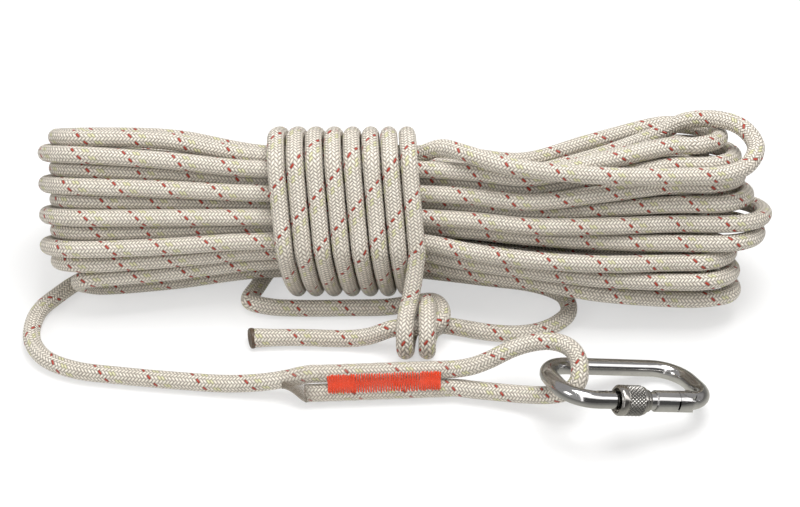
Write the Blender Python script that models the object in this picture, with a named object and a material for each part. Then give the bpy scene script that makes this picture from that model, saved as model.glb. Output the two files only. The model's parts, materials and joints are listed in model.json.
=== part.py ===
"""Safety rope lanyard.

One braided rope, 11 mm thick, made up for carrying: eighteen and a half long loops in a
hank, eight frapping turns round its waist, and a finishing knot. One end leaves the hank as a
lead, is turned back in an eye and stitched to itself under a clear sleeve, and the eye
carries an oval steel karabiner with a screw-locked gate. The other end is a short
heat-sealed tail.

Sizes are metres, +Z is up, and the floor is z = 0. Free stretches follow points chosen by
hand in a layout frame, whose origin lies on the floor in the middle of the make-up, and
LAYOUT_CENTRE then brings the middle of the whole outline to the origin.
"""

import math

import bmesh
import bpy
import numpy as np
from mathutils import Matrix, Vector

# Rope
ROPE_D = 0.011
ROPE_R = ROPE_D / 2
SPACING = 0.0119
FACE_GAP = 0.0003
# What trims the turns and the tail where they press on the floor: left, near, right and far
FLOOR_CUTTER = (-0.130, -0.100, 0.050, 0.060)
LAYOUT_CENTRE = (-0.0008, -0.0660)

# Hank: rows are counted from the top, column 0 lies inside column 1
HANK_ROWS = 10
HANK_MIDDLE_ROW = 4.5
HANK_Y = -0.0143
HANK_Y_RIGHT = -0.0245
HANK_LEAN = math.radians(36.1)
HANK_LEFT_X = -0.192
WAIST_LEFT_X = -0.090
WAIST_RIGHT_X = 0.008
OPEN_X = 0.170
# Right of the waist: where the rows spread and rise, and as far as the hank comes forward
SPREAD_X = (0.078, 0.168)
DRIFT_X = 0.110
PITCH_LEFT = 0.0100
PITCH_WAIST = 0.0076
PITCH_RIGHT = 0.0122
CORE_LEFT = 0.016
CORE_WAIST = SPACING / 2
CORE_RIGHT = 0.0155
HEIGHT_LEFT = 0.0545
HEIGHT_WAIST = 0.0535
HEIGHT_RIGHT = 0.0591
GROUP_GAP = 0.006
GROUP_ROW = 7
TOP_RISE = 0.0028
RUN_STATIONS = (-0.150, -0.090, 0.008, 0.045, 0.082, 0.125, 0.172)
BIGHT_POINTS = 5
# Where the outer loops end on the right, by the row they come forward in, from row 1 down
BIGHT_X = (0.176, 0.185, 0.188, 0.1935, 0.2052, 0.2013, 0.1835, 0.1855)
INNER_BIGHT_X = 0.177
LOWEST_BIGHT_X = 0.180

# Frapping turns
TURNS = 8
TURN_PITCH = 0.0119
TURN_SWAY = 0.00342
FIRST_TURN_X = -0.0785
START_SHIFT = -0.0150
CORNER_STEP = math.radians(24)
WRAP_EXIT = (0.0092, -0.0715, 0.0465)

# Free stretches, each a list of points chosen by hand in the layout frame
LEAD_ROUTE = (
    (-0.1850, -0.0235, 0.0066),
    (-0.2010, -0.0268, 0.0056),
    (-0.2135, -0.0345, 0.0056),
    (-0.2250, -0.0475, 0.0056),
    (-0.2340, -0.0610, 0.0056),
    (-0.2366, -0.0760, 0.0056),
    (-0.2338, -0.0913, 0.0056),
    (-0.2232, -0.1055, 0.0056),
    (-0.2035, -0.1151, 0.0056),
    (-0.1748, -0.1200, 0.0056),
    (-0.1369, -0.1245, 0.0056),
    (-0.1080, -0.1275, 0.0062),
    (-0.0860, -0.1292, 0.0092),
    (-0.0690, -0.1300, 0.0135),
)
EYE_ROUTE = (
    (0.0455, -0.1258, 0.0205),
    (0.0560, -0.1245, 0.0250),
    (0.0677, -0.1218, 0.0306),
    (0.0787, -0.1208, 0.0347),
    (0.0904, -0.1219, 0.0379),
    (0.0992, -0.1245, 0.0380),
    (0.1050, -0.1293, 0.0372),
    (0.1080, -0.1353, 0.0351),
    (0.1084, -0.1414, 0.0328),
    (0.1075, -0.1465, 0.0294),
    (0.1043, -0.1490, 0.0251),
    (0.0980, -0.1486, 0.0203),
    (0.0900, -0.1460, 0.0157),
    (0.0795, -0.1418, 0.0114),
    (0.0609, -0.1368, 0.0083),
    (0.0460, -0.1340, 0.0075),
)
LINK_ROUTE = (
    (0.1070, -0.0515, 0.0087),
    (0.1100, -0.0580, 0.0062),
    (0.1085, -0.0655, 0.0056),
    (0.1013, -0.0735, 0.0056),
    (0.0906, -0.0800, 0.0056),
    (0.0782, -0.0830, 0.0056),
    (0.0641, -0.0828, 0.0056),
    (0.0520, -0.0808, 0.0056),
)
KNOT_START = (0.0340, -0.0765, 0.0056)
KNOT_ROUTE = (
    (0.0270, -0.0755, 0.0056),
    (0.0210, -0.0800, 0.0056),
    (0.0178, -0.0890, 0.0059),
    (0.0172, -0.1010, 0.0085),
    (0.0170, -0.1070, 0.0175),
    (0.0170, -0.1010, 0.0265),
    (0.0170, -0.0885, 0.0298),
    (0.0166, -0.0765, 0.0262),
    (0.0130, -0.0703, 0.0172),
    (0.0085, -0.0765, 0.0085),
    (0.0050, -0.0885, 0.0059),
    (0.0038, -0.1010, 0.0085),
    (0.0030, -0.1070, 0.0175),
    (0.0030, -0.1010, 0.0268),
    (0.0042, -0.0895, 0.0306),
    (0.0060, -0.0820, 0.0326),
)
TAIL_ROUTE = (
    (-0.0985, -0.0525, 0.0056),
    (-0.0850, -0.0580, 0.0056),
    (-0.0640, -0.0595, 0.0056),
    (-0.0350, -0.0592, 0.0056),
    (-0.0080, -0.0590, 0.0062),
    (0.0090, -0.0590, 0.0098),
    (0.0210, -0.0618, 0.0140),
    (0.0262, -0.0715, 0.0176),
    (0.0262, -0.0815, 0.0178),
    (0.0190, -0.0880, 0.0176),
    (0.0090, -0.0890, 0.0176),
    (-0.0040, -0.0892, 0.0166),
    (-0.0190, -0.0885, 0.0090),
    (-0.0330, -0.0875, 0.0057),
    (-0.0639, -0.0864, 0.0056),
    (-0.0830, -0.0866, 0.0056),
    (-0.0946, -0.0868, 0.0056),
)
FREE_STEP = 0.0230
EYE_STEP = 0.0125
KNOT_STEP = 0.0068

# Splice: the two legs lie side by side in a plane that leans back
LOWER_LEG = ((-0.0580, -0.1365, 0.0074), (0.0247, -0.1324, 0.0074))
LEG_GAP = 0.0115
LEG_RISE = 0.8
LEAD_END_X = -0.0460
SLEEVE_X = (-0.0730, -0.0705, -0.0680, -0.0655, -0.0630, -0.0600, -0.0570, -0.0460, 0.0305)
STRAIGHT_END_X = 0.0335
SLEEVE_WALL = 0.0006
STITCH_THICK = 0.0010
STITCH_THIN = 0.0006
STITCH_WIDTH = 0.0110
SLEEVE_SIDES = 20
DENSE_STITCHES = ((-0.0440, -0.0280), (0.0123, 0.0249))

# Karabiner, in its own frame: x along it, y from the gate to the spine, z out of its plane
BAR_D = 0.0105
FRAME_HALF_X = 0.04725
FRAME_HALF_Y = 0.02425
FRAME_CORNER_R = 0.0185
KARABINER_CENTRE = (0.13623, -0.14342, 0.02310)
KARABINER_LONG_AXIS = (0.9369, 0.2239, -0.2686)
KARABINER_GATE_SIDE = (0.3081, -0.8918, 0.3314)
ROPE_CROSSING = (-0.0290, 0.0040, 0.0)
GATE_Y = -FRAME_HALF_Y
PIVOT_RISE = 0.0010
PIVOT = (0.0300, GATE_Y + PIVOT_RISE, 0.0)
FIT = 0.0003
NECK_R = 0.0055
HINGE_R = 0.0065
NOSE_X = -0.0307
LAP_X = -0.0188
SHOULDER_X = 0.0076
GATE_END_X = 0.0225
TANG_HALF = 0.0025
TANG_R = 0.0072
CHEEK_R = HINGE_R - PIVOT_RISE
TONGUE_HALF = 0.0020
TONGUE_TOP = 0.0034
TONGUE_X = -0.0206
RIVET_R = 0.0020
PIN_X = -0.0240
PIN_Y = 0.0012
PIN_R = 0.0013
SPRING_R = 0.00195
SPRING_WIRE = 0.0007
SPRING_X = (0.0047, 0.0147)
SPRING_TURNS = 8
PLUNGER_X = (0.0154, 0.0225)
LOCK_R = 0.00925
LOCK_BORE_R = NECK_R + FIT
LOCK_RECESS_R = 0.00725
LOCK_X = (-0.0175, -0.0135, 0.0035)
LOCK_CHAMFER = 0.0010
# How far the cutters reach: towards the window, away from it, and to either side
CUT_IN = 0.0095
CUT_OUT = 0.0080
CUT_HALF = 0.0080
CUT_NOSE_X = -0.0330
NOSE_LAP_END_X = -0.0150
TONGUE_ROOT = 0.0020
GATE_SLOT_FLOOR = 0.0010
HINGE_SHOULDER = (0.0005, 0.0045, 0.0042)
ROUND = 32


def smooth_step(x, start, end):
    """0 at start and 1 at end, with soft ends."""
    t = min(max((x - start) / (end - start), 0.0), 1.0)
    return t * t * (3 - 2 * t)


def mixed(a, b, t):
    return a + (b - a) * t


def material(name, colour, roughness, metallic=0.0):
    made = bpy.data.materials.new(name)
    made.use_nodes = True
    shader = made.node_tree.nodes["Principled BSDF"]
    shader.inputs["Base Color"].default_value = (*colour, 1.0)
    shader.inputs["Roughness"].default_value = roughness
    shader.inputs["Metallic"].default_value = metallic
    made.diffuse_color = (*colour, 1.0)
    return made


def add_object(name, data, parent=None, look=None):
    made = bpy.data.objects.new(name, data)
    bpy.context.scene.collection.objects.link(made)
    made.parent = parent
    if look is not None:
        data.materials.append(look)
    return made


def add_empty(name, parent, place, turn=None):
    made = bpy.data.objects.new(name, None)
    bpy.context.scene.collection.objects.link(made)
    made.parent = parent
    made.empty_display_size = 0.02
    made.matrix_local = Matrix.Translation(place) @ (turn or Matrix.Identity(4))
    return made


def add_mesh(name, vertices, faces, parent=None, look=None):
    mesh = bpy.data.meshes.new(name)
    mesh.from_pydata([tuple(v) for v in vertices], [], faces)
    mesh.update()
    return add_object(name, mesh, parent, look)


def add_tube(name, points, diameter, rounding, parent, look):
    """A round bar or rope along the points, with flat filled ends."""
    curve = bpy.data.curves.new(name, "CURVE")
    curve.dimensions = "3D"
    curve.bevel_depth = diameter / 2
    curve.bevel_resolution = rounding
    curve.use_fill_caps = True
    spline = curve.splines.new("POLY")
    spline.points.add(len(points) - 1)
    for point, place in zip(spline.points, points):
        point.co = (*place, 1.0)
    return add_object(name, curve, parent, look)


def as_mesh(tube):
    """The tube as a mesh object of the same name, so that Booleans can cut it."""
    graph = bpy.context.evaluated_depsgraph_get()
    mesh = bpy.data.meshes.new_from_object(tube.evaluated_get(graph))
    name = tube.name
    parent = tube.parent
    looks = list(tube.data.materials)
    bpy.data.objects.remove(tube)
    made = add_object(name, mesh, parent)
    made.name = name
    mesh.name = name
    mesh.materials.clear()
    for look in looks:
        mesh.materials.append(look)
    return made


def boolean(target, tool, operation):
    """Cuts target with tool, or joins tool to it; tool stays as a hidden guide."""
    modifier = target.modifiers.new(tool.name, "BOOLEAN")
    modifier.operation = operation
    modifier.object = tool
    modifier.solver = "EXACT"
    tool.hide_render = True
    tool.display_type = "WIRE"


def shade(made, angle=35):
    made.data.shade_smooth()
    made.data.set_sharp_from_angle(angle=math.radians(angle))


def smooth_route(points, step):
    """Points about a step apart on the smooth curve through hand-chosen ones.

    The first span and the last stay straight.
    """
    keys = [Vector(p) for p in points]
    dense = []
    for a, b, c, d in zip(keys, keys[1:], keys[2:], keys[3:]):
        for i in range(24):
            t = i / 24
            bend = (2 * a - 5 * b + 4 * c - d) * t * t + (3 * b - a - 3 * c + d) * t ** 3
            dense.append((2 * b + (c - a) * t + bend) / 2)
    dense.append(keys[-2])
    return np.concatenate([[tuple(keys[0])], evenly(dense, step), [tuple(keys[-1])]])


def evenly(points, step):
    """Points at equal distances along a line of points, ends included."""
    line = np.array([tuple(p) for p in points])
    along = np.concatenate([[0.0], np.cumsum(np.linalg.norm(np.diff(line, axis=0), axis=1))])
    count = max(2, round(along[-1] / step) + 1)
    wanted = np.linspace(0, along[-1], count)
    return np.stack([np.interp(wanted, along, line[:, k]) for k in range(3)], axis=1)


# The hank


def row_pitch(x):
    if x < WAIST_LEFT_X:
        return mixed(PITCH_WAIST, PITCH_LEFT, smooth_step(x, WAIST_LEFT_X, HANK_LEFT_X))
    return mixed(PITCH_WAIST, PITCH_RIGHT, smooth_step(x, *SPREAD_X))


def row_stagger(x):
    """How far odd rows stand out from even ones, so that rows drawn together still fit."""
    reach = 0.002
    spread = HANK_MIDDLE_ROW * (row_pitch(x + reach) - row_pitch(x - reach)) / (2 * reach)
    square_on = row_pitch(x) / math.sqrt(1 + spread * spread)
    return math.sqrt(max(0.0, SPACING**2 - square_on**2))


def core_half(x):
    """Half the space that the loops leave open along the hank's middle, to a strand's centre."""
    if x < WAIST_LEFT_X:
        return mixed(CORE_WAIST, CORE_LEFT, smooth_step(x, WAIST_LEFT_X, HANK_LEFT_X))
    return mixed(CORE_WAIST, CORE_RIGHT, smooth_step(x, WAIST_RIGHT_X, OPEN_X))


def hank_height(x):
    if x < WAIST_LEFT_X:
        return mixed(HEIGHT_WAIST, HEIGHT_LEFT, smooth_step(x, WAIST_LEFT_X, HANK_LEFT_X))
    return mixed(HEIGHT_WAIST, HEIGHT_RIGHT, smooth_step(x, *SPREAD_X))


def hank_depth(x):
    return mixed(HANK_Y, HANK_Y_RIGHT, smooth_step(x, WAIST_RIGHT_X, DRIFT_X))


def leaned(x, up, back):
    """A place given across the hank's leaning layers, in the layout frame."""
    y = hank_depth(x) + up * math.sin(HANK_LEAN) + back * math.cos(HANK_LEAN)
    z = hank_height(x) + up * math.cos(HANK_LEAN) - back * math.sin(HANK_LEAN)
    return (x, y, z)


def strand(x, row, column, front):
    """(up, back) of a strand at x, in its row and column, in front of the middle or behind.

    The lowest front rows drop away from the rest right of the waist, and the top row rises
    left of it.
    """
    stagger = row_stagger(x)
    depth = core_half(x) + stagger * (row % 2) + column * max(2 * stagger, SPACING)
    up = (HANK_MIDDLE_ROW - row) * row_pitch(x)
    if front and row >= GROUP_ROW:
        up -= GROUP_GAP * smooth_step(x, 0.010, 0.060) * (1 - smooth_step(x, 0.080, 0.185))
    if row == 0:
        up += TOP_RISE * smooth_step(x, WAIST_LEFT_X, -0.140) * (1 - smooth_step(x, -0.150, HANK_LEFT_X))
    return up, -depth if front else depth


def back_run(row, column, stations=RUN_STATIONS):
    """Left to right behind the middle."""
    return [leaned(x, *strand(x, row, column, False)) for x in stations]


def front_run(row, column, stations=RUN_STATIONS):
    """Right to left in front of the middle."""
    return [leaned(x, *strand(x, row, column, True)) for x in reversed(stations)]


def bight(x, sideways, start, end):
    """A half turn at the hank's end, from one (up, back) to another, just touching its arc."""
    half_step = math.pi / (2 * BIGHT_POINTS)
    radius = (start[1] - end[1]) / 2
    middle = (start[1] + end[1]) / 2
    turn = []
    for k in range(BIGHT_POINTS):
        angle = (2 * k + 1) * half_step
        out = abs(radius) * math.sin(angle) / math.cos(half_step)
        back = middle + radius * math.cos(angle) / math.cos(half_step)
        up = mixed(start[0], end[0], (1 - math.cos(angle)) / 2)
        turn.append(leaned(x + sideways * out, up, back))
    return turn


def right_bight(row, next_row, column):
    """From the back run of one row to the front run of the next, which lies beside it."""
    x = BIGHT_X[next_row - 1] if column else INNER_BIGHT_X
    return bight(x, 1, strand(x, row, column, False), strand(x, next_row, column, True))


def left_bight(row, column):
    x = HANK_LEFT_X
    return bight(x, -1, strand(x, row, column, True), strand(x, row, column, False))


def lowest_bight():
    """From the last outer run, round outside the inner loops, to the lowest front run."""
    start = strand(LOWEST_BIGHT_X, HANK_ROWS - 2, 1, False)
    end = strand(LOWEST_BIGHT_X, HANK_ROWS - 1, 0, True)
    turn = []
    for out, across in ((0.010, 0.0), (0.028, 0.18), (0.036, 0.50), (0.031, 0.86), (0.011, 1.03)):
        up = mixed(start[0], end[0], across)
        turn.append(leaned(LOWEST_BIGHT_X + out, up, mixed(start[1], end[1], across)))
    return turn


def open_bight():
    """The loop that stands up at the top right and comes back in front of the rest."""
    route = (
        (0.165, 0.0480, 0.0120),
        (0.183, 0.0575, 0.0040),
        (0.203, 0.0590, -0.0080),
        (0.2165, 0.0535, -0.0195),
        (0.2225, 0.0425, -0.0290),
        (0.2165, 0.0320, -0.0370),
        (0.204, 0.0265, -0.0405),
        (0.172, 0.0245, -0.0430),
        (0.112, 0.0290, -0.0484),
        (0.064, 0.0335, -0.0485),
        (0.042, 0.0380, -0.0425),
        (0.026, 0.0405, -0.0335),
    )
    return [leaned(*place) for place in route]


def hank_points():
    """The rope from its first run along the bottom to where it leaves the hank underneath.

    It goes on to the next row in each half turn on the right. The inner column climbs to
    the top, and the outer one comes down over it.
    """
    last = HANK_ROWS - 1
    points = back_run(last, 0)
    for row in range(last - 1, 0, -1):
        points += right_bight(row + 1, row, 0) + front_run(row, 0) + left_bight(row, 0)
        points += back_run(row, 0, RUN_STATIONS[:-1] if row == 1 else RUN_STATIONS)
    points += open_bight() + front_run(0, 1, RUN_STATIONS[:3])
    for row in range(1, last):
        points += left_bight(row - 1, 1) + back_run(row - 1, 1)
        points += right_bight(row - 1, row, 1) + front_run(row, 1)
    points += left_bight(last - 1, 1) + back_run(last - 1, 1)
    points += lowest_bight() + front_run(last, 0)
    return points + last_strand()


def last_strand():
    """From the lowest front run, round the left end to the underside, and out at the right."""
    x = HANK_LEFT_X
    points = bight(x, -1, strand(x, HANK_ROWS - 1, 0, True), (-0.0542, 0.0090))
    points += [leaned(-0.150, -0.0500, 0.0080)]
    points += [leaned(x, *strand(x, HANK_ROWS, 0, False)) for x in RUN_STATIONS[1:3]]
    points += [
        (0.035, HANK_Y - 0.0241, 0.0165),
        (0.060, HANK_Y - 0.0286, 0.0165),
        (0.083, HANK_Y - 0.0321, 0.0160),
        (0.099, HANK_Y - 0.0346, 0.0125),
    ]
    return points


def least_gap(points, thickness):
    """Least gap between parts of a round tube that are not neighbours along it."""
    line = evenly(points, thickness / 3)
    apart = 6
    least = math.inf
    for shift in range(apart, len(line)):
        least = min(least, np.linalg.norm(line[shift:] - line[:-shift], axis=1).min())
    return least - thickness


# The frapping turns


def waist_strands():
    """Places in (y, z) of every strand that the frapping turns hold together."""
    x = (WAIST_LEFT_X + WAIST_RIGHT_X) / 2
    last = HANK_ROWS - 1
    held = [strand(x, row, 0, False) for row in range(1, last + 1)] + [strand(x, last + 1, 0, False)]
    held += [strand(x, row, 1, False) for row in range(last)]
    held += [strand(x, row, 0, True) for row in range(1, last + 1)]
    held += [strand(x, row, 1, True) for row in range(last)]
    return [leaned(x, *place)[1:] for place in held]


def tight_outline(places):
    """The corners of a line drawn tight round the places, anticlockwise."""
    places = sorted(places)

    def half(run):
        corners = []
        for place in run:
            while len(corners) > 1 and crossed(corners[-2], corners[-1], place) <= 1e-7:
                corners.pop()
            corners.append(place)
        return corners[:-1]

    return half(places) + half(places[::-1])


def crossed(a, b, c):
    return (b[0] - a[0]) * (c[1] - a[1]) - (b[1] - a[1]) * (c[0] - a[0])


def turn_section():
    """One frapping turn in (y, z), from under the waist up the back and down the front."""
    corners = tight_outline(waist_strands())
    ring = []
    for before, corner, after in zip(corners[-1:] + corners, corners, corners[1:] + corners[:1]):
        start = math.atan2(corner[1] - before[1], corner[0] - before[0]) - math.pi / 2
        end = math.atan2(after[1] - corner[1], after[0] - corner[0]) - math.pi / 2
        turn = (end - start) % math.tau
        count = math.ceil(turn / CORNER_STEP)
        reach = SPACING / math.cos(turn / count / 2)
        for k in range(count):
            angle = start + (k + 0.5) * turn / count
            ring.append((corner[0] + reach * math.cos(angle), corner[1] + reach * math.sin(angle)))
    lowest = [i for i, place in enumerate(ring) if place[1] < min(p[1] for p in ring) + 0.0003]
    first = min(lowest, key=lambda i: ring[i][0])
    return ring[first:] + ring[:first]


def wrap_points():
    """Eight turns; the first begins under the hank, the last leaves its front for the knot."""
    ring = turn_section()
    lengths = [math.dist(a, b) for a, b in zip(ring, ring[1:] + ring[:1])]
    shares = np.concatenate([[0.0], np.cumsum(lengths)]) / sum(lengths)
    top = shares[max(range(len(ring)), key=lambda i: ring[i][1])]
    points = []
    for turn in range(TURNS):
        for share, (y, z) in zip(shares, ring):
            angle = math.tau * (turn + share - top)
            x = FIRST_TURN_X + TURN_PITCH * angle / math.tau + TURN_SWAY * (1 - math.cos(angle))
            points.append((x, y, z))
    points[0] = (points[0][0] + START_SHIFT, points[0][1], points[0][2])
    while points[-1][2] < WRAP_EXIT[2] + ROPE_D:
        points.pop()
    return points + [WRAP_EXIT]


# The splice


def splice_axes():
    """Along the legs, from the lower leg to the upper one, and out towards the front."""
    along = (Vector(LOWER_LEG[1]) - Vector(LOWER_LEG[0])).normalized()
    level = Vector((-along[1], along[0], 0.0))
    across = level * math.sqrt(1 - LEG_RISE**2) + Vector((0.0, 0.0, LEG_RISE))
    return along, across, along.cross(across)


def lower_leg(x):
    along, _, _ = splice_axes()
    start = Vector(LOWER_LEG[0])
    return start + along * ((x - start[0]) / along[0])


def upper_leg(x):
    _, across, _ = splice_axes()
    return lower_leg(x) + across * LEG_GAP


def before_face(face, beyond):
    """The last two points of a stretch that runs straight up to another one's face."""
    way = (Vector(beyond) - Vector(face)).normalized()
    return [Vector(face) - way * (ROPE_D + FACE_GAP), Vector(face) - way * FACE_GAP]


def lead_points(hank):
    """From the hank round the left-hand end and along the front into the splice."""
    start = before_face(hank[0], hank[1])[::-1]
    end = [upper_leg(LEAD_END_X - ROPE_D), upper_leg(LEAD_END_X)]
    return smooth_route([*start, *LEAD_ROUTE, *end], FREE_STEP)


def eye_points():
    """The upper leg, the eye and the lower leg, to the cut end beside the lead."""
    start = [upper_leg(LEAD_END_X + FACE_GAP), upper_leg(STRAIGHT_END_X)]
    end = [lower_leg(STRAIGHT_END_X), lower_leg(LOWER_LEG[0][0])]
    return smooth_route([*start, *EYE_ROUTE, *end], EYE_STEP)


def link_points(hank):
    """From under the hank, forward and back along the floor to the knot."""
    start = before_face(hank[-1], hank[-2])[::-1]
    end = before_face(KNOT_START, KNOT_ROUTE[0])
    return smooth_route([*start, *LINK_ROUTE, *end], FREE_STEP / 2)


def knot_points(wrap):
    """Two turns round the tail, then up to where the frapping turns leave the hank."""
    end = before_face(wrap[-1], wrap[-2])
    return smooth_route([KNOT_START, *KNOT_ROUTE, *end], KNOT_STEP)


def tail_points(wrap):
    """From the first frapping turn, along the front, through the knot and back to its end."""
    start = before_face(wrap[0], wrap[1])[::-1]
    return smooth_route([*start, *TAIL_ROUTE], FREE_STEP / 2)


def sleeve_ring(x, wall, lead):
    """Outline of the clear sleeve at x: round over the lead, wide enough for both legs and the stitches."""
    _, across, out = splice_axes()
    both = smooth_step(x, SLEEVE_X[0], SLEEVE_X[4])
    top = lead_place(x, lead)
    low = top + (lower_leg(x) - top) * both
    sides = ROPE_R + FIT + wall
    thick = sides + (STITCH_THICK + FIT) * both
    ring = []
    for centre, start in ((top, 0), (low, SLEEVE_SIDES // 2)):
        for k in range(SLEEVE_SIDES // 2 + 1):
            angle = math.tau * (start + k) / SLEEVE_SIDES
            ring.append(centre + across * sides * math.sin(angle) + out * thick * math.cos(angle))
    return ring


def lead_place(x, lead):
    """Where the rope's centre lies at x, on the lead's last stretch or on the upper leg."""
    if x >= LEAD_END_X - ROPE_D:
        return upper_leg(x)
    last = lead[-5:]
    return Vector([float(np.interp(x, last[:, 0], last[:, k])) for k in range(3)])


def add_sleeve(lead, parent, look):
    """A thin tube, open at both ends: an outer skin and an inner one, joined at the rims."""
    rings = [sleeve_ring(x, SLEEVE_WALL, lead) for x in SLEEVE_X]
    rings += [sleeve_ring(x, 0.0, lead) for x in reversed(SLEEVE_X)]
    size = len(rings[0])
    faces = []
    for k in range(len(rings)):
        after = (k + 1) % len(rings)
        for j in range(size):
            beside = (j + 1) % size
            faces.append((k * size + j, k * size + beside, after * size + beside, after * size + j))
    vertices = [place for ring in rings for place in ring]
    return outward(add_mesh("splice_sleeve", vertices, faces, parent, look))


def outward(made):
    """Turns every face of a closed body outward."""
    work = bmesh.new()
    work.from_mesh(made.data)
    bmesh.ops.recalc_face_normals(work, faces=work.faces)
    work.to_mesh(made.data)
    work.free()
    return made


def add_stitching(name, side, parent, look):
    """A band of stitches lying across both legs, thicker where the rows are close."""
    _, across, out = splice_axes()
    start = LEAD_END_X
    end = DENSE_STITCHES[1][1] + 0.002
    heights = [(start, STITCH_THIN)]
    for dense_start, dense_end in DENSE_STITCHES:
        heights += [(dense_start, STITCH_THIN), (dense_start, STITCH_THICK)]
        heights += [(dense_end, STITCH_THICK), (dense_end, STITCH_THIN)]
    heights.append((end, STITCH_THIN))
    profile = [(start, 0.0)] + heights + [(end, 0.0)]
    vertices = []
    for edge in (-0.5, 0.5):
        for x, height in profile:
            middle = (upper_leg(x) + lower_leg(x)) / 2
            vertices.append(middle + across * STITCH_WIDTH * edge + out * side * (ROPE_R + FIT + height))
    size = len(profile)
    faces = [tuple(range(size)), tuple(range(2 * size - 1, size - 1, -1))]
    for j in range(size):
        beside = (j + 1) % size
        faces.append((j, j + size, beside + size, beside))
    return outward(add_mesh(name, vertices, faces, parent, look))


# The karabiner


def karabiner_turn():
    """Its own axes, as a turn in the layout frame."""
    x_axis = Vector(KARABINER_LONG_AXIS).normalized()
    z_axis = x_axis.cross(-Vector(KARABINER_GATE_SIDE)).normalized()
    y_axis = z_axis.cross(x_axis)
    return Matrix((x_axis, y_axis, z_axis)).transposed().to_4x4()


def turned(name, profile, y=0.0, parent=None, look=None):
    """A solid turned about the x axis from (x, radius) corners; radius 0 closes it on the axis."""
    vertices = []
    rings = []
    for x, radius in profile:
        count = ROUND if radius > 0 else 1
        rings.append(range(len(vertices), len(vertices) + count))
        for k in range(count):
            angle = math.tau * k / ROUND
            vertices.append((x, y + radius * math.cos(angle), radius * math.sin(angle)))
    faces = []
    for ring, after in zip(rings, rings[1:] + rings[:1]):
        if len(ring) == 1 and len(after) == 1:
            continue
        for k in range(ROUND):
            beside = (k + 1) % ROUND
            face = [ring[k % len(ring)], ring[beside % len(ring)]]
            face += [after[beside % len(after)], after[k % len(after)]]
            faces.append(tuple(dict.fromkeys(face)))
    return outward(add_mesh(name, vertices, faces, parent, look))


def plate(name, outline, low, high, parent=None, look=None):
    """A flat solid with the given (x, y) outline, from z = low to z = high."""
    size = len(outline)
    vertices = [(x, y, low) for x, y in outline] + [(x, y, high) for x, y in outline]
    faces = [tuple(range(size - 1, -1, -1)), tuple(range(size, 2 * size))]
    for j in range(size):
        beside = (j + 1) % size
        faces.append((j, beside, beside + size, j + size))
    return outward(add_mesh(name, vertices, faces, parent, look))


def arc(centre, radius, start, end, count):
    """Points along a circle, angles in degrees."""
    angles = [math.radians(mixed(start, end, k / count)) for k in range(count + 1)]
    return [(centre[0] + radius * math.cos(a), centre[1] + radius * math.sin(a)) for a in angles]


def frame_line():
    """The bar's centre, from the nose round the spine to the gate's hinge."""
    inner_x = FRAME_HALF_X - FRAME_CORNER_R
    inner_y = FRAME_HALF_Y - FRAME_CORNER_R
    line = [(LAP_X - FIT, GATE_Y)]
    line += arc((-inner_x, -inner_y), FRAME_CORNER_R, 270, 180, 9)
    line += arc((-inner_x, inner_y), FRAME_CORNER_R, 180, 90, 9)
    line += arc((inner_x, inner_y), FRAME_CORNER_R, 90, 0, 9)
    line += arc((inner_x, -inner_y), FRAME_CORNER_R, 0, -90, 9)
    return [(x, y, 0.0) for x, y in line]


def add_karabiner_body(parent, look):
    """The bent bar, the half-lapped nose with its notched tongue, and the slotted hinge end."""
    bar = add_tube("karabiner_body", frame_line(), BAR_D, 8, parent, look)
    body = as_mesh(bar)
    hinge = turned("hinge_block", (
        (GATE_END_X + FIT, 0.0),
        (GATE_END_X + FIT, HINGE_R),
        (PIVOT[0] + HINGE_SHOULDER[0], HINGE_R),
        (PIVOT[0] + HINGE_SHOULDER[1], HINGE_SHOULDER[2]),
        (PIVOT[0] + HINGE_SHOULDER[1], 0.0),
    ), GATE_Y, parent)
    boolean(body, hinge, "UNION")
    high = GATE_Y + CUT_IN
    edge = GATE_Y - FIT / 2
    lap = [(NOSE_X, edge), (NOSE_LAP_END_X, edge), (NOSE_LAP_END_X, high), (NOSE_X, high)]
    boolean(body, plate("nose_lap", lap, -CUT_HALF, CUT_HALF, parent), "DIFFERENCE")
    boolean(body, plate("nose_tongue", tongue_outline(), -TONGUE_HALF, TONGUE_HALF, parent), "UNION")
    cheek_room = cut_round_pivot(CHEEK_R + FIT, full=True)
    boolean(body, plate("cheek_room_near", cheek_room, TANG_HALF, CUT_HALF, parent), "DIFFERENCE")
    boolean(body, plate("cheek_room_far", cheek_room, -CUT_HALF, -TANG_HALF, parent), "DIFFERENCE")
    tang_room = cut_round_pivot(TANG_R, full=False)
    past_tang = TANG_HALF + 2 * FIT
    boolean(body, plate("tang_room", tang_room, -past_tang, past_tang, parent), "DIFFERENCE")
    boolean(body, rivet_bore("body_rivet_bore", parent), "DIFFERENCE")
    shade(body)


def cut_round_pivot(radius, full):
    """What the gate needs on the window side of the hinge: with the disc, or all but the disc."""
    edge = GATE_Y - FIT / 2
    high = GATE_Y + CUT_IN
    dip = math.degrees(math.asin((PIVOT[1] - edge) / radius))
    left = GATE_END_X - 0.0010
    if full:
        curve = arc(PIVOT, radius, 180 + dip, 450, 14)
    else:
        curve = arc(PIVOT, radius, 180 + dip, 90, 8)
    return [(left, edge)] + curve + [(PIVOT[0], high), (left, high)]


def tongue_outline():
    """A flat tongue with a notch, open to the window, for the gate's latch pin."""
    top = GATE_Y + TONGUE_TOP
    notch = PIN_R + 0.00035
    low = GATE_Y - TONGUE_ROOT
    root = NOSE_X - TONGUE_ROOT
    outline = [(root, low), (TONGUE_X, low), (TONGUE_X, top - 0.001), (TONGUE_X - 0.001, top)]
    outline += [(PIN_X + notch, top)]
    outline += arc((PIN_X, GATE_Y + PIN_Y), notch, 0, -180, 8)
    outline += [(PIN_X - notch, top), (root, top)]
    return outline


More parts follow.
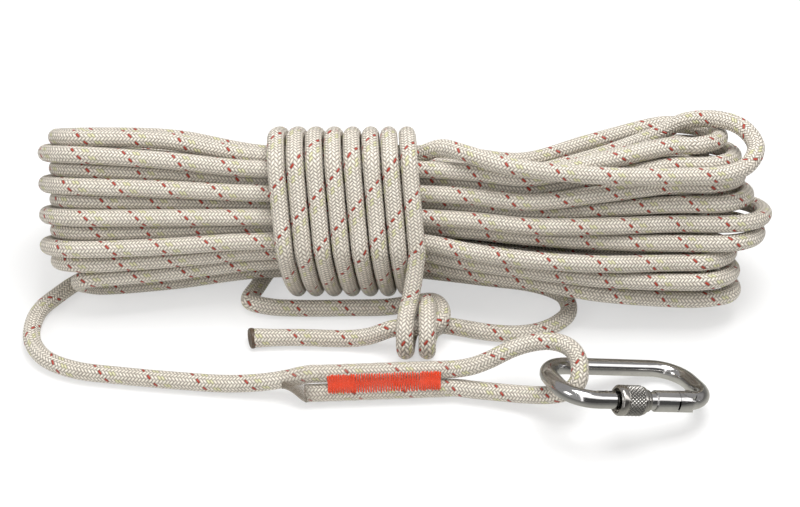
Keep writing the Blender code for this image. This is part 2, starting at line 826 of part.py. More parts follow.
def rivet_bore(name, parent):
    return plate(name, arc(PIVOT, RIVET_R + FIT, 0, 345, 23), -0.010, 0.010, parent)


def add_gate(parent, look):
    """A turned bar: half-lapped and slotted at the nose, with two cheeks at the hinge."""
    gate = turned("karabiner_gate", (
        (NOSE_X + 0.0004, 0.0),
        (NOSE_X + 0.0004, NECK_R - 0.0005),
        (NOSE_X + 0.0009, NECK_R),
        (SHOULDER_X, NECK_R),
        (SHOULDER_X, HINGE_R - 0.0004),
        (SHOULDER_X + 0.0004, HINGE_R),
        (PIVOT[0] + 0.0070, HINGE_R),
        (PIVOT[0] + 0.0070, 0.0),
    ), GATE_Y, parent, look)
    low = GATE_Y - CUT_OUT
    edge = GATE_Y + FIT / 2
    lap = [(CUT_NOSE_X, low), (LAP_X + FIT, low), (LAP_X + FIT, edge), (CUT_NOSE_X, edge)]
    boolean(gate, plate("gate_lap", lap, -CUT_HALF, CUT_HALF, parent), "DIFFERENCE")
    high = GATE_Y + CUT_IN
    slot_floor = GATE_Y - GATE_SLOT_FLOOR
    slot_end = TONGUE_X + 0.0005
    slot = [(CUT_NOSE_X, slot_floor), (slot_end, slot_floor), (slot_end, high), (CUT_NOSE_X, high)]
    boolean(gate, plate("tongue_slot", slot, -TONGUE_HALF - FIT, TONGUE_HALF + FIT, parent), "DIFFERENCE")
    dip = math.degrees(math.asin((PIVOT[1] - edge) / CHEEK_R))
    far = PIVOT[0] + 0.0100
    spare = [(GATE_END_X, low), (GATE_END_X, edge)]
    spare += arc(PIVOT, CHEEK_R, 180 + dip, 450, 14)
    spare += [(PIVOT[0], high), (far, high), (far, low)]
    boolean(gate, plate("gate_end", spare, -CUT_HALF, CUT_HALF, parent), "DIFFERENCE")
    left = GATE_END_X - 0.0010
    slit = [(left, low), (far, low), (far, high), (left, high)]
    boolean(gate, plate("hinge_slot", slit, -TANG_HALF - FIT, TANG_HALF + FIT, parent), "DIFFERENCE")
    bore = turned("spring_bore", (
        (SPRING_X[0] - 0.0004, 0.0),
        (SPRING_X[0] - 0.0004, SPRING_R + SPRING_WIRE),
        (GATE_END_X, SPRING_R + SPRING_WIRE),
        (GATE_END_X, 0.0),
    ), GATE_Y, parent)
    boolean(gate, bore, "DIFFERENCE")
    boolean(gate, rivet_bore("gate_rivet_bore", parent), "DIFFERENCE")
    pin_bore = arc((PIN_X, GATE_Y + PIN_Y), PIN_R + FIT, 0, 337.5, 15)
    boolean(gate, plate("pin_bore", pin_bore, -CUT_HALF, CUT_HALF, parent), "DIFFERENCE")
    shade(gate)


def add_gate_trim(body_parent, gate_parent, steel, bright):
    """The hinge rivet, the latch pin, and the spring and plunger inside the gate."""
    rivet = plate("gate_rivet", arc(PIVOT, RIVET_R, 0, 345, 23), -HINGE_R, HINGE_R, body_parent, bright)
    shade(rivet)
    centre = (PIN_X, GATE_Y + PIN_Y)
    pin_half = NECK_R - 0.0004
    pin = plate("latch_pin", arc(centre, PIN_R, 0, 337.5, 15), -pin_half, pin_half, gate_parent, bright)
    shade(pin)
    per_turn = 9
    steps = SPRING_TURNS * per_turn
    coil = []
    for k in range(steps + 1):
        angle = math.tau * k / per_turn
        x = mixed(SPRING_X[0], SPRING_X[1], k / steps)
        coil.append((x, GATE_Y + SPRING_R * math.cos(angle), SPRING_R * math.sin(angle)))
    add_tube("gate_spring", coil, SPRING_WIRE, 1, gate_parent, steel)
    plunger = turned("gate_plunger", (
        (PLUNGER_X[0], 0.0),
        (PLUNGER_X[0], 0.0020),
        (PLUNGER_X[1] - 0.0006, 0.0020),
        (PLUNGER_X[1], 0.0014),
        (PLUNGER_X[1], 0.0),
    ), GATE_Y, gate_parent, bright)
    shade(plunger)


def add_screw_sleeve(parent, look):
    """The barrel on the gate: a plain bore, a wider recess at the nose end, and soft rims."""
    start, recess_end, end = LOCK_X
    rim = LOCK_CHAMFER
    sleeve = turned("screw_sleeve", (
        (start, LOCK_RECESS_R),
        (start, LOCK_R - rim),
        (start + rim, LOCK_R),
        (end - rim, LOCK_R),
        (end, LOCK_R - rim),
        (end, LOCK_BORE_R),
        (recess_end, LOCK_BORE_R),
        (recess_end, LOCK_RECESS_R),
    ), GATE_Y, parent, look)
    shade(sleeve)


# The whole lanyard


def clear_scene():
    for item in list(bpy.data.objects):
        bpy.data.objects.remove(item)


def build_ropes(root):
    sheath = material("rope sheath", (0.72, 0.71, 0.66), 0.85)
    turns_look = material("rope turns", (0.70, 0.69, 0.64), 0.85)
    hank = hank_points()
    wrap = wrap_points()
    tubes = {
        "rope_lead": (lead_points(hank), 3),
        "rope_eye": (eye_points(), 3),
        "rope_link": (link_points(hank), 3),
        "rope_knot": (knot_points(wrap), 2),
        "rope_tail": (tail_points(wrap), 3),
    }
    add_tube("rope_hank", hank, ROPE_D, 1, root, sheath)
    turns = as_mesh(add_tube("rope_wrap", wrap, ROPE_D, 1, root, turns_look))
    left, near, right, far = FLOOR_CUTTER
    floor = [(left, near), (right, near), (right, far), (left, far)]
    cutter = plate("floor_cut", floor, -ROPE_D, 0.0, root)
    boolean(turns, cutter, "DIFFERENCE")
    for name, (points, rounding) in tubes.items():
        tube = add_tube(name, points, ROPE_D, rounding, root, sheath.copy())
        if name == "rope_tail":
            boolean(as_mesh(tube), cutter, "DIFFERENCE")
    for name, points in (("hank", hank), ("turns", wrap), ("knot", knot_points(wrap))):
        print(f"least gap in the {name}: {least_gap(points, ROPE_D) * 1000:.2f} mm")


def build_splice(root):
    thread = material("stitching", (0.87, 0.22, 0.12), 0.7)
    add_stitching("splice_stitching_front", 1, root, thread)
    add_stitching("splice_stitching_back", -1, root, thread.copy())
    add_sleeve(lead_points(hank_points()), root, material("clear sleeve", (0.80, 0.82, 0.82), 0.2))


def build_karabiner(root):
    steel = material("karabiner steel", (0.42, 0.40, 0.38), 0.35, 0.9)
    swivel_place = karabiner_place(ROPE_CROSSING)
    swivel = add_empty("karabiner_swivel", root, swivel_place, karabiner_turn())
    frame = add_empty("karabiner_frame", swivel, -Vector(ROPE_CROSSING))
    hinge = add_empty("gate_hinge", frame, Vector(PIVOT))
    gate_frame = add_empty("gate_frame", hinge, -Vector(PIVOT))
    add_karabiner_body(frame, steel)
    add_gate(gate_frame, material("gate steel", (0.44, 0.42, 0.40), 0.35, 0.9))
    bright = material("pin steel", (0.55, 0.54, 0.52), 0.3, 1.0)
    spring_steel = material("spring steel", (0.40, 0.40, 0.40), 0.35, 1.0)
    add_gate_trim(frame, gate_frame, spring_steel, bright)
    add_screw_sleeve(gate_frame, material("screw sleeve steel", (0.40, 0.38, 0.36), 0.4, 0.9))


def karabiner_place(place):
    """A place in the karabiner's own frame, in the layout frame."""
    return Vector(KARABINER_CENTRE) + karabiner_turn().to_3x3() @ Vector(place)


def main():
    clear_scene()
    root = add_empty("lanyard", None, (-LAYOUT_CENTRE[0], -LAYOUT_CENTRE[1], 0.0))
    build_ropes(root)
    build_splice(root)
    build_karabiner(root)
    bpy.context.view_layer.update()
    for name in ("karabiner_swivel", "gate_hinge"):
        world = bpy.data.objects[name].matrix_world
        print(name, "at", [round(v, 5) for v in world.translation], "z axis", world.col[2][:3])


main()
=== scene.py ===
"""Safety rope lanyard: one braided rope in a tied hank, with a stitched eye and a steel karabiner.

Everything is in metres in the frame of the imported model, with +Z up. The rope's route is worked
out in a layout frame whose origin lies on the floor in the middle of the hank.
"""

import math

import bmesh
import bpy
import numpy as np
from mathutils import Matrix, Vector
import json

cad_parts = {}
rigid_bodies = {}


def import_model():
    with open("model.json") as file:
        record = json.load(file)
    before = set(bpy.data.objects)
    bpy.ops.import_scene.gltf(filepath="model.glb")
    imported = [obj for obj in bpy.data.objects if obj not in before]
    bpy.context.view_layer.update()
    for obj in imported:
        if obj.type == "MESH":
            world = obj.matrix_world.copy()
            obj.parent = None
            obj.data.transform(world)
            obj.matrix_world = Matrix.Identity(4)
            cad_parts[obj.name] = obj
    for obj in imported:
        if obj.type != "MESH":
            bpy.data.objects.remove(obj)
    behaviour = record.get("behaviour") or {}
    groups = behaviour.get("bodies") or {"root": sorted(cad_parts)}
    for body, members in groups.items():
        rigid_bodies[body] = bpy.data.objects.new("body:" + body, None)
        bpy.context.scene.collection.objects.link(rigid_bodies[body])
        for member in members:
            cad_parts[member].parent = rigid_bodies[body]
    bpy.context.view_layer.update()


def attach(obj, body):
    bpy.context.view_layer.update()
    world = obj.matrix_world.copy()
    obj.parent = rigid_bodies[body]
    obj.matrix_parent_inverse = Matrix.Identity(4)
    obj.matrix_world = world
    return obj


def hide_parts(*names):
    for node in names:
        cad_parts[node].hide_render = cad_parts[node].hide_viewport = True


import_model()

# The view, the light and the floor
# The camera looks down along +Y at the photograph's angle. A wide soft lamp overhead, a weaker
# one from the left and an even white world light the rope as a light tent would.

LAYOUT_CENTRE = np.array([-0.0008, -0.0660, 0.0])
CAMERA_ELEVATION = math.radians(42)
CAMERA_DISTANCE = 1.105
CAMERA_LENS = 73.0
SENSOR_WIDTH = 36.0
CAMERA_REACH = 20.0
# Each lamp's place, width in metres and power in watts
LAMPS = {"overhead": ((0.15, 0.10, 1.10), 0.60, 11.0), "left": ((-1.00, -0.55, 0.80), 0.5, 3.5)}
EVEN_LIGHT = (1.0, 0.99, 0.97)
EVEN_STRENGTH = 0.60
# What steel reflects: grey levels by the turn from the front horizon (0) over the top to the
# back one (1), all grey for directions left of TENT_SIDE_X, as at the turn TENT_SIDE_TURN
TENT_BANDS = ((0.0, 0.04), (0.28, 0.04), (0.37, 0.95), (0.50, 1.0), (0.57, 0.16), (0.92, 0.18), (1.0, 0.06))
TENT_TINT = (1.0, 0.99, 1.0)
TENT_STRENGTH = 2.8
TENT_SIDE_X = (-0.45, -0.05)
TENT_SIDE_TURN = 0.75
# The floor in the same reflections, a painted reflection that glows: grey levels by the ray's length, up to
# FLOOR_REACH metres
FLOOR_BANDS = ((0.0, 0.80), (0.25, 0.55), (0.60, 0.22), (1.0, 0.10))
FLOOR_TINT = (1.0, 0.99, 0.88)
FLOOR_REACH = 0.16
FLOOR_SHARE = 0.85
FLOOR_HALF = 6.0
FLOOR_Z = -0.0003
PAPER_WHITE = (0.93, 0.93, 0.93)
BACKGROUND_SHARE = 0.55


class Tree:
    """A node tree with short ways to fill it. An input is given a socket, which is linked to it,
    or a number, a colour of three numbers or another value, which is set on it."""

    def __init__(self, tree):
        self.nodes = tree.nodes
        self.links = tree.links

    def fill(self, node, inputs):
        """Gives a node its inputs, by name or by number."""
        for key, value in inputs.items():
            socket = node.inputs[key]
            if isinstance(value, bpy.types.NodeSocket):
                self.links.new(value, socket)
            elif isinstance(value, tuple) and len(value) < len(socket.default_value):
                socket.default_value = (*value, 1)
            else:
                socket.default_value = value

    def add(self, kind, inputs=None, **settings):
        """A new node with its settings and inputs; returns the node."""
        made = self.nodes.new(kind)
        for name, value in settings.items():
            setattr(made, name, value)
        self.fill(made, inputs or {})
        return made

    def maths(self, operation, *values):
        """A Math node on sockets or numbers; returns its value."""
        return self.add("ShaderNodeMath", dict(enumerate(values)), operation=operation).outputs[0]

    def share_between(self, value, start, end, **settings):
        """The share of the way from start to end that a value has gone, from 0 to 1."""
        inputs = {"Value": value, "From Min": start, "From Max": end}
        return self.add("ShaderNodeMapRange", inputs, **settings).outputs[0]

    def ramp(self, place, levels, tint):
        """Colours by place from 0 to 1, as (position, grey level) pairs, each level times the tint."""
        made = self.add("ShaderNodeValToRGB", {"Fac": place})
        stops = made.color_ramp.elements
        for _ in levels[2:]:
            stops.new(0.5)
        for stop, (position, level) in zip(stops, levels):
            stop.position = position
            stop.color = (*(level * share for share in tint), 1)
        return made.outputs["Color"]


def new_material(name):
    """A material with a Principled shader: returns the material, its tree and the shader."""
    made = bpy.data.materials.new(name)
    made.use_nodes = True
    return made, Tree(made.node_tree), made.node_tree.nodes["Principled BSDF"]


def add_object(name, data):
    """A new object of the scene with a mesh, a lamp or a camera."""
    made = bpy.data.objects.new(name, data)
    scene.collection.objects.link(made)
    return made


def look_at(thing, place, target):
    """Puts a camera or lamp at place, its -Z axis towards target and its Y axis up."""
    thing.location = Vector(place)
    thing.rotation_euler = (Vector(target) - Vector(place)).to_track_quat("-Z", "Y").to_euler()


scene = bpy.context.scene
scene.view_settings.view_transform = "Standard"
aim = -LAYOUT_CENTRE
camera_data = bpy.data.cameras.new("camera")
camera_data.lens = CAMERA_LENS
camera_data.sensor_width = SENSOR_WIDTH
camera_data.clip_end = CAMERA_REACH
camera = add_object("camera", camera_data)
away = np.array([0.0, -math.cos(CAMERA_ELEVATION), math.sin(CAMERA_ELEVATION)])
look_at(camera, aim + CAMERA_DISTANCE * away, aim)
scene.camera = camera

for name, (place, width, power) in LAMPS.items():
    lamp = bpy.data.lights.new(name, "AREA")
    lamp.size = width
    lamp.energy = power
    look_at(add_object(name, lamp), place, aim)

world = bpy.data.worlds.new("light tent")
scene.world = world
world.use_nodes = True
sky = Tree(world.node_tree)
sky.nodes.clear()
way = sky.add("ShaderNodeTexCoord").outputs["Generated"]
way = sky.add("ShaderNodeSeparateXYZ", {0: way}).outputs
turn = sky.maths("ARCTAN2", way["Z"], sky.maths("MULTIPLY", way["Y"], -1.0))
turn = sky.maths("MULTIPLY", turn, 1 / math.pi)
from_left = sky.share_between(way["X"], *TENT_SIDE_X, interpolation_type="SMOOTHSTEP")
turn = sky.maths("SUBTRACT", turn, TENT_SIDE_TURN)
turn = sky.maths("MULTIPLY_ADD", turn, from_left, TENT_SIDE_TURN)
bands = sky.ramp(turn, TENT_BANDS, TENT_TINT)
even = sky.add("ShaderNodeBackground", {"Color": EVEN_LIGHT, "Strength": EVEN_STRENGTH})
tent = sky.add("ShaderNodeBackground", {"Color": bands, "Strength": TENT_STRENGTH})
plain = sky.add("ShaderNodeBackground", {"Color": (1.0, 1.0, 1.0)})
rays = sky.add("ShaderNodeLightPath").outputs
for_metal = sky.add("ShaderNodeMixShader", {0: rays["Is Glossy Ray"], 1: even.outputs[0], 2: tent.outputs[0]})
seen = sky.maths("MAXIMUM", rays["Is Camera Ray"], rays["Is Transmission Ray"])
for_camera = sky.add("ShaderNodeMixShader", {0: seen, 1: for_metal.outputs[0], 2: plain.outputs[0]})
sky.add("ShaderNodeOutputWorld", {"Surface": for_camera.outputs[0]})

floor_corners = [(x * FLOOR_HALF, y * FLOOR_HALF, FLOOR_Z) for x, y in ((-1, -1), (1, -1), (1, 1), (-1, 1))]
floor_mesh = bpy.data.meshes.new("floor")
floor_mesh.from_pydata(floor_corners, [], [(0, 1, 2, 3)])
floor = add_object("floor", floor_mesh)
paper, tree, shader = new_material("white paper")
grain = tree.add("ShaderNodeTexNoise", {"Scale": 240.0})
relief = tree.add("ShaderNodeBump", {"Height": grain.outputs["Fac"], "Strength": 0.02})
finish = {"Base Color": PAPER_WHITE, "Roughness": 0.9, "Specular IOR Level": 0.1}
tree.fill(shader, finish | {"Normal": relief.outputs["Normal"]})
bare_white = tree.add("ShaderNodeEmission", {"Color": (1.0, 1.0, 1.0)})
ray = tree.add("ShaderNodeLightPath").outputs
share = tree.maths("MULTIPLY", ray["Is Camera Ray"], BACKGROUND_SHARE)
blend = tree.add("ShaderNodeMixShader", {0: share, 1: shader.outputs[0], 2: bare_white.outputs[0]})
# Painted reflection: glossy rays see the floor glow in greys that darken with the ray's length, in place of
# the lit paper
reflected_floor_greys = tree.ramp(tree.maths("DIVIDE", ray["Ray Length"], FLOOR_REACH), FLOOR_BANDS, FLOOR_TINT)
painted_floor_reflection = tree.add("ShaderNodeEmission", {"Color": reflected_floor_greys})
share = tree.maths("MULTIPLY", ray["Is Glossy Ray"], FLOOR_SHARE)
mirrored = tree.add("ShaderNodeMixShader", {0: share, 1: blend.outputs[0], 2: painted_floor_reflection.outputs[0]})
tree.fill(tree.nodes["Material Output"], {"Surface": mirrored.outputs[0]})
floor_mesh.materials.append(paper)

# The rope
# One braided rope, 11 mm thick, off-white with a red and a yellow-green tracer. It is one smooth
# tube from the cut end in the splice, through the eye, the lead, the hank, the link, the knot,
# the frapping turns and back through the knot to the heat-sealed end of the tail.

ROPE_D = 0.011
ROPE_R = ROPE_D / 2
SPACING = 0.0119
# Rows are numbered from the top. The hank's layers lean back by HANK_LEAN
HANK_ROWS = 10
HANK_MIDDLE_ROW = 4.5
HANK_Y = -0.0143
HANK_Y_RIGHT = -0.0245
HANK_LEAN = math.radians(36.1)
HANK_LEFT_X = -0.192
WAIST_LEFT_X = -0.090
WAIST_RIGHT_X = 0.008
# Right of the waist the loops open up to OPEN_X, the rows spread along SPREAD_X, and the hank
# drifts to the front up to DRIFT_X
OPEN_X = 0.170
SPREAD_X = (0.078, 0.168)
DRIFT_X = 0.110
PITCH_LEFT = 0.0100
PITCH_WAIST = 0.0076
PITCH_RIGHT = 0.0122
CORE_LEFT = 0.016
CORE_WAIST = SPACING / 2
CORE_RIGHT = 0.0155
HEIGHT_LEFT = 0.0545
HEIGHT_WAIST = 0.0535
HEIGHT_RIGHT = 0.0591
# The lowest front rows hang lower by GROUP_GAP between the first and the second stretch, and
# the top row rises along the third and falls back along the fourth
GROUP_GAP = 0.006
GROUP_ROW = 7
GROUP_DROP_X = (0.010, 0.060)
GROUP_RETURN_X = (0.080, 0.185)
TOP_RISE = 0.0028
TOP_RISE_X = (WAIST_LEFT_X, -0.140)
TOP_FALL_X = (-0.150, HANK_LEFT_X)
RUN_STATIONS = (-0.150, -0.090, 0.008, 0.045, 0.082, 0.125, 0.172)
BIGHT_POINTS = 5
# Where each half turn of the outer column begins on the right, from the top down
BIGHT_X = (0.176, 0.185, 0.188, 0.1935, 0.2052, 0.2013, 0.1835, 0.1855)
INNER_BIGHT_X = 0.177
LOWEST_BIGHT_X = 0.180
# The frapping turns. The first one's top is at FIRST_TURN_X, each sways right by twice
# TURN_SWAY at its lowest, and the hidden start is moved by START_SHIFT
TURNS = 8
TURN_PITCH = 0.0119
TURN_SWAY = 0.00342
FIRST_TURN_X = -0.0785
START_SHIFT = -0.0150
CORNER_STEP = math.radians(24)
# Places this close to the lowest one count as the turn's underside
LOWEST_WITHIN = 0.0003
# A corner counts as straight where crossed gives no more than this
STRAIGHT_AREA = 1e-7
WRAP_EXIT = (0.0092, -0.0715, 0.0465)
LEAD_ROUTE = (
    (-0.1850, -0.0235, 0.0066),
    (-0.2010, -0.0268, 0.0056),
    (-0.2135, -0.0345, 0.0056),
    (-0.2250, -0.0475, 0.0056),
    (-0.2340, -0.0610, 0.0056),
    (-0.2366, -0.0760, 0.0056),
    (-0.2338, -0.0913, 0.0056),
    (-0.2232, -0.1055, 0.0056),
    (-0.2035, -0.1151, 0.0056),
    (-0.1748, -0.1200, 0.0056),
    (-0.1369, -0.1245, 0.0056),
    (-0.1080, -0.1275, 0.0062),
    (-0.0860, -0.1292, 0.0092),
    (-0.0690, -0.1300, 0.0135),
)
EYE_ROUTE = (
    (0.0455, -0.1258, 0.0205),
    (0.0560, -0.1245, 0.0250),
    (0.0677, -0.1218, 0.0306),
    (0.0787, -0.1208, 0.0347),
    (0.0904, -0.1219, 0.0379),
    (0.0992, -0.1245, 0.0380),
    (0.1050, -0.1293, 0.0372),
    (0.1080, -0.1353, 0.0351),
    (0.1084, -0.1414, 0.0328),
    (0.1075, -0.1465, 0.0294),
    (0.1043, -0.1490, 0.0251),
    (0.0980, -0.1486, 0.0203),
    (0.0900, -0.1460, 0.0157),
    (0.0795, -0.1418, 0.0114),
    (0.0609, -0.1368, 0.0083),
    (0.0460, -0.1340, 0.0075),
)
LINK_ROUTE = (
    (0.1070, -0.0515, 0.0087),
    (0.1100, -0.0580, 0.0062),
    (0.1085, -0.0655, 0.0056),
    (0.1013, -0.0735, 0.0056),
    (0.0906, -0.0800, 0.0056),
    (0.0782, -0.0830, 0.0056),
    (0.0641, -0.0828, 0.0056),
    (0.0520, -0.0808, 0.0056),
)
KNOT_START = (0.0340, -0.0765, 0.0056)
KNOT_ROUTE = (
    (0.0270, -0.0755, 0.0056),
    (0.0210, -0.0800, 0.0056),
    (0.0178, -0.0890, 0.0059),
    (0.0172, -0.1010, 0.0085),
    (0.0170, -0.1070, 0.0175),
    (0.0170, -0.1010, 0.0265),
    (0.0170, -0.0885, 0.0298),
    (0.0166, -0.0765, 0.0262),
    (0.0130, -0.0703, 0.0172),
    (0.0085, -0.0765, 0.0085),
    (0.0050, -0.0885, 0.0059),
    (0.0038, -0.1010, 0.0085),
    (0.0030, -0.1070, 0.0175),
    (0.0030, -0.1010, 0.0268),
    (0.0042, -0.0895, 0.0306),
    (0.0060, -0.0820, 0.0326),
)
TAIL_ROUTE = (
    (-0.0985, -0.0525, 0.0056),
    (-0.0850, -0.0580, 0.0056),
    (-0.0640, -0.0595, 0.0056),
    (-0.0350, -0.0592, 0.0056),
    (-0.0080, -0.0590, 0.0062),
    (0.0090, -0.0590, 0.0098),
    (0.0210, -0.0618, 0.0140),
    (0.0262, -0.0715, 0.0176),
    (0.0262, -0.0815, 0.0178),
    (0.0190, -0.0880, 0.0176),
    (0.0090, -0.0890, 0.0176),
    (-0.0040, -0.0892, 0.0166),
    (-0.0190, -0.0885, 0.0090),
    (-0.0330, -0.0875, 0.0057),
    (-0.0639, -0.0864, 0.0056),
    (-0.0830, -0.0866, 0.0056),
    (-0.0946, -0.0868, 0.0056),
)
LOWER_LEG = ((-0.0580, -0.1365, 0.0074), (0.0247, -0.1324, 0.0074))
LEG_GAP = 0.0115
# The sine of the angle by which the upper leg lies above the lower one
LEG_RISE = 0.8
LEG_KEYS = 5
LEAD_END_X = -0.0460
STRAIGHT_END_X = 0.0335
ROPE_SIDES = 18
TRACER_PITCH = 0.031
BRAID_STRANDS = 14
# Samples of the curve between two keys, then the rope's rings: metres apart where it is
# straight, and radians of bend between them
CURVE_STEPS = 24
STEP_STRAIGHT = 0.0075
STEP_PER_BEND = 0.24
# Any direction that the rope doesn't start along
ANY_WAY = (0.3, 0.5, 0.8)
# The rope is a little thicker at the tail's end
FLARE = 0.14
FLARE_REACH = 0.009
# The rope narrows inside the melted button at the tail's end
TAPER = 0.40
TAPER_REACH = 0.0012
TAPER_STEPS = (0.0030, 0.0020, 0.0012, 0.0005, 0.0)
# The lowest that the rope's surface may lie
FLOOR_REST = 0.0002
# The yarn's colour on the stitches' crowns, and the painted shade that darkens the gaps between them
SHEATH_LIGHT = (0.92, 0.865, 0.78)
SHEATH_GAP_SHADE = (0.20, 0.17, 0.14)
TRACER_RED = (0.44, 0.044, 0.020)
TRACER_GREEN = (0.74, 0.72, 0.46)


def smooth_step(x, start, end):
    """0 at start and 1 at end, with soft ends."""
    t = min(max((x - start) / (end - start), 0.0), 1.0)
    return t * t * (3 - 2 * t)


def mixed(a, b, t):
    """The value at share t of the way from a to b."""
    return a + (b - a) * t


def row_pitch(x):
    """How far apart the rows lie at x: closest at the waist, and wider towards either end."""
    if x < WAIST_LEFT_X:
        return mixed(PITCH_WAIST, PITCH_LEFT, smooth_step(x, WAIST_LEFT_X, HANK_LEFT_X))
    return mixed(PITCH_WAIST, PITCH_RIGHT, smooth_step(x, *SPREAD_X))


def row_stagger(x):
    """How far odd rows stand out from even ones, so that rows drawn together still fit."""
    reach = 0.002
    spread = HANK_MIDDLE_ROW * (row_pitch(x + reach) - row_pitch(x - reach)) / (2 * reach)
    square_on = row_pitch(x) / math.sqrt(1 + spread * spread)
    return math.sqrt(max(0.0, SPACING**2 - square_on**2))


def core_half(x):
    """Half the space that the loops leave open along the hank's middle, to a strand's centre."""
    if x < WAIST_LEFT_X:
        return mixed(CORE_WAIST, CORE_LEFT, smooth_step(x, WAIST_LEFT_X, HANK_LEFT_X))
    return mixed(CORE_WAIST, CORE_RIGHT, smooth_step(x, WAIST_RIGHT_X, OPEN_X))


def hank_height(x):
    """How high the middle of the hank lies at x."""
    if x < WAIST_LEFT_X:
        return mixed(HEIGHT_WAIST, HEIGHT_LEFT, smooth_step(x, WAIST_LEFT_X, HANK_LEFT_X))
    return mixed(HEIGHT_WAIST, HEIGHT_RIGHT, smooth_step(x, *SPREAD_X))


def hank_depth(x):
    """How far back the middle of the hank lies at x."""
    return mixed(HANK_Y, HANK_Y_RIGHT, smooth_step(x, WAIST_RIGHT_X, DRIFT_X))


def leaned(x, up, back):
    """A place given across the hank's leaning layers, in the layout frame."""
    y = hank_depth(x) + up * math.sin(HANK_LEAN) + back * math.cos(HANK_LEAN)
    z = hank_height(x) + up * math.cos(HANK_LEAN) - back * math.sin(HANK_LEAN)
    return (x, y, z)


def strand(x, row, column, front):
    """(up, back) of a strand at x, in its row and column, in front of the middle or behind.

    The lowest front rows drop away from the rest right of the waist, and the top row rises
    left of it.
    """
    stagger = row_stagger(x)
    depth = core_half(x) + stagger * (row % 2) + column * max(2 * stagger, SPACING)
    up = (HANK_MIDDLE_ROW - row) * row_pitch(x)
    if front and row >= GROUP_ROW:
        up -= GROUP_GAP * smooth_step(x, *GROUP_DROP_X) * (1 - smooth_step(x, *GROUP_RETURN_X))
    if row == 0:
        up += TOP_RISE * smooth_step(x, *TOP_RISE_X) * (1 - smooth_step(x, *TOP_FALL_X))
    return up, -depth if front else depth


def back_run(row, column, stations=RUN_STATIONS):
    """Left to right behind the middle."""
    return [leaned(x, *strand(x, row, column, False)) for x in stations]


def front_run(row, column, stations=RUN_STATIONS):
    """Right to left in front of the middle."""
    return [leaned(x, *strand(x, row, column, True)) for x in reversed(stations)]


def bight(x, sideways, start, end):
    """A half turn at the hank's end, from one (up, back) to another, just touching its arc."""
    half_step = math.pi / (2 * BIGHT_POINTS)
    radius = (start[1] - end[1]) / 2
    middle = (start[1] + end[1]) / 2
    turn = []
    for k in range(BIGHT_POINTS):
        angle = (2 * k + 1) * half_step
        out = abs(radius) * math.sin(angle) / math.cos(half_step)
        back = middle + radius * math.cos(angle) / math.cos(half_step)
        up = mixed(start[0], end[0], (1 - math.cos(angle)) / 2)
        turn.append(leaned(x + sideways * out, up, back))
    return turn


def right_bight(row, next_row, column):
    """From the back run of one row to the front run of the next, which lies beside it."""
    x = BIGHT_X[next_row - 1] if column else INNER_BIGHT_X
    return bight(x, 1, strand(x, row, column, False), strand(x, next_row, column, True))


def left_bight(row, column):
    """From the front run of a row to the back run of the same row."""
    x = HANK_LEFT_X
    return bight(x, -1, strand(x, row, column, True), strand(x, row, column, False))


def lowest_bight():
    """From the last outer run, round outside the inner loops, to the lowest front run."""
    start = strand(LOWEST_BIGHT_X, HANK_ROWS - 2, 1, False)
    end = strand(LOWEST_BIGHT_X, HANK_ROWS - 1, 0, True)
    turn = []
    for out, across in ((0.010, 0.0), (0.028, 0.18), (0.036, 0.50), (0.031, 0.86), (0.011, 1.03)):
        up = mixed(start[0], end[0], across)
        turn.append(leaned(LOWEST_BIGHT_X + out, up, mixed(start[1], end[1], across)))
    return turn


def open_bight():
    """The loop that stands up at the top right and comes back in front of the rest."""
    route = (
        (0.165, 0.0480, 0.0120),
        (0.183, 0.0575, 0.0040),
        (0.203, 0.0590, -0.0080),
        (0.2165, 0.0535, -0.0195),
        (0.2225, 0.0425, -0.0290),
        (0.2165, 0.0320, -0.0370),
        (0.204, 0.0265, -0.0405),
        (0.172, 0.0245, -0.0430),
        (0.112, 0.0290, -0.0484),
        (0.064, 0.0335, -0.0485),
        (0.042, 0.0380, -0.0425),
        (0.026, 0.0405, -0.0335),
    )
    return [leaned(*place) for place in route]


def hank_points():
    """The rope from its first run along the bottom to where it leaves the hank underneath.

    It goes on to the next row in each half turn on the right. The inner column climbs to
    the top, and the outer one comes down over it.
    """
    last = HANK_ROWS - 1
    points = back_run(last, 0)
    for row in range(last - 1, 0, -1):
        points += right_bight(row + 1, row, 0) + front_run(row, 0) + left_bight(row, 0)
        points += back_run(row, 0, RUN_STATIONS[:-1] if row == 1 else RUN_STATIONS)
    points += open_bight() + front_run(0, 1, RUN_STATIONS[:3])
    for row in range(1, last):
        points += left_bight(row - 1, 1) + back_run(row - 1, 1)
        points += right_bight(row - 1, row, 1) + front_run(row, 1)
    points += left_bight(last - 1, 1) + back_run(last - 1, 1)
    points += lowest_bight() + front_run(last, 0)
    return points + last_strand()


def last_strand():
    """From the lowest front run, round the left end to the underside, and out at the right."""
    x = HANK_LEFT_X
    points = bight(x, -1, strand(x, HANK_ROWS - 1, 0, True), (-0.0542, 0.0090))
    points += [leaned(-0.150, -0.0500, 0.0080)]
    points += [leaned(x, *strand(x, HANK_ROWS, 0, False)) for x in RUN_STATIONS[1:3]]
    points += [
        (0.035, HANK_Y - 0.0241, 0.0165),
        (0.060, HANK_Y - 0.0286, 0.0165),
        (0.083, HANK_Y - 0.0321, 0.0160),
        (0.099, HANK_Y - 0.0346, 0.0125),
    ]
    return points


def waist_strands():
    """Places in (y, z) of every strand that the frapping turns hold together."""
    x = (WAIST_LEFT_X + WAIST_RIGHT_X) / 2
    last = HANK_ROWS - 1
    held = [strand(x, row, 0, False) for row in range(1, last + 1)] + [strand(x, last + 1, 0, False)]
    held += [strand(x, row, 1, False) for row in range(last)]
    held += [strand(x, row, 0, True) for row in range(1, last + 1)]
    held += [strand(x, row, 1, True) for row in range(last)]
    return [leaned(x, *place)[1:] for place in held]


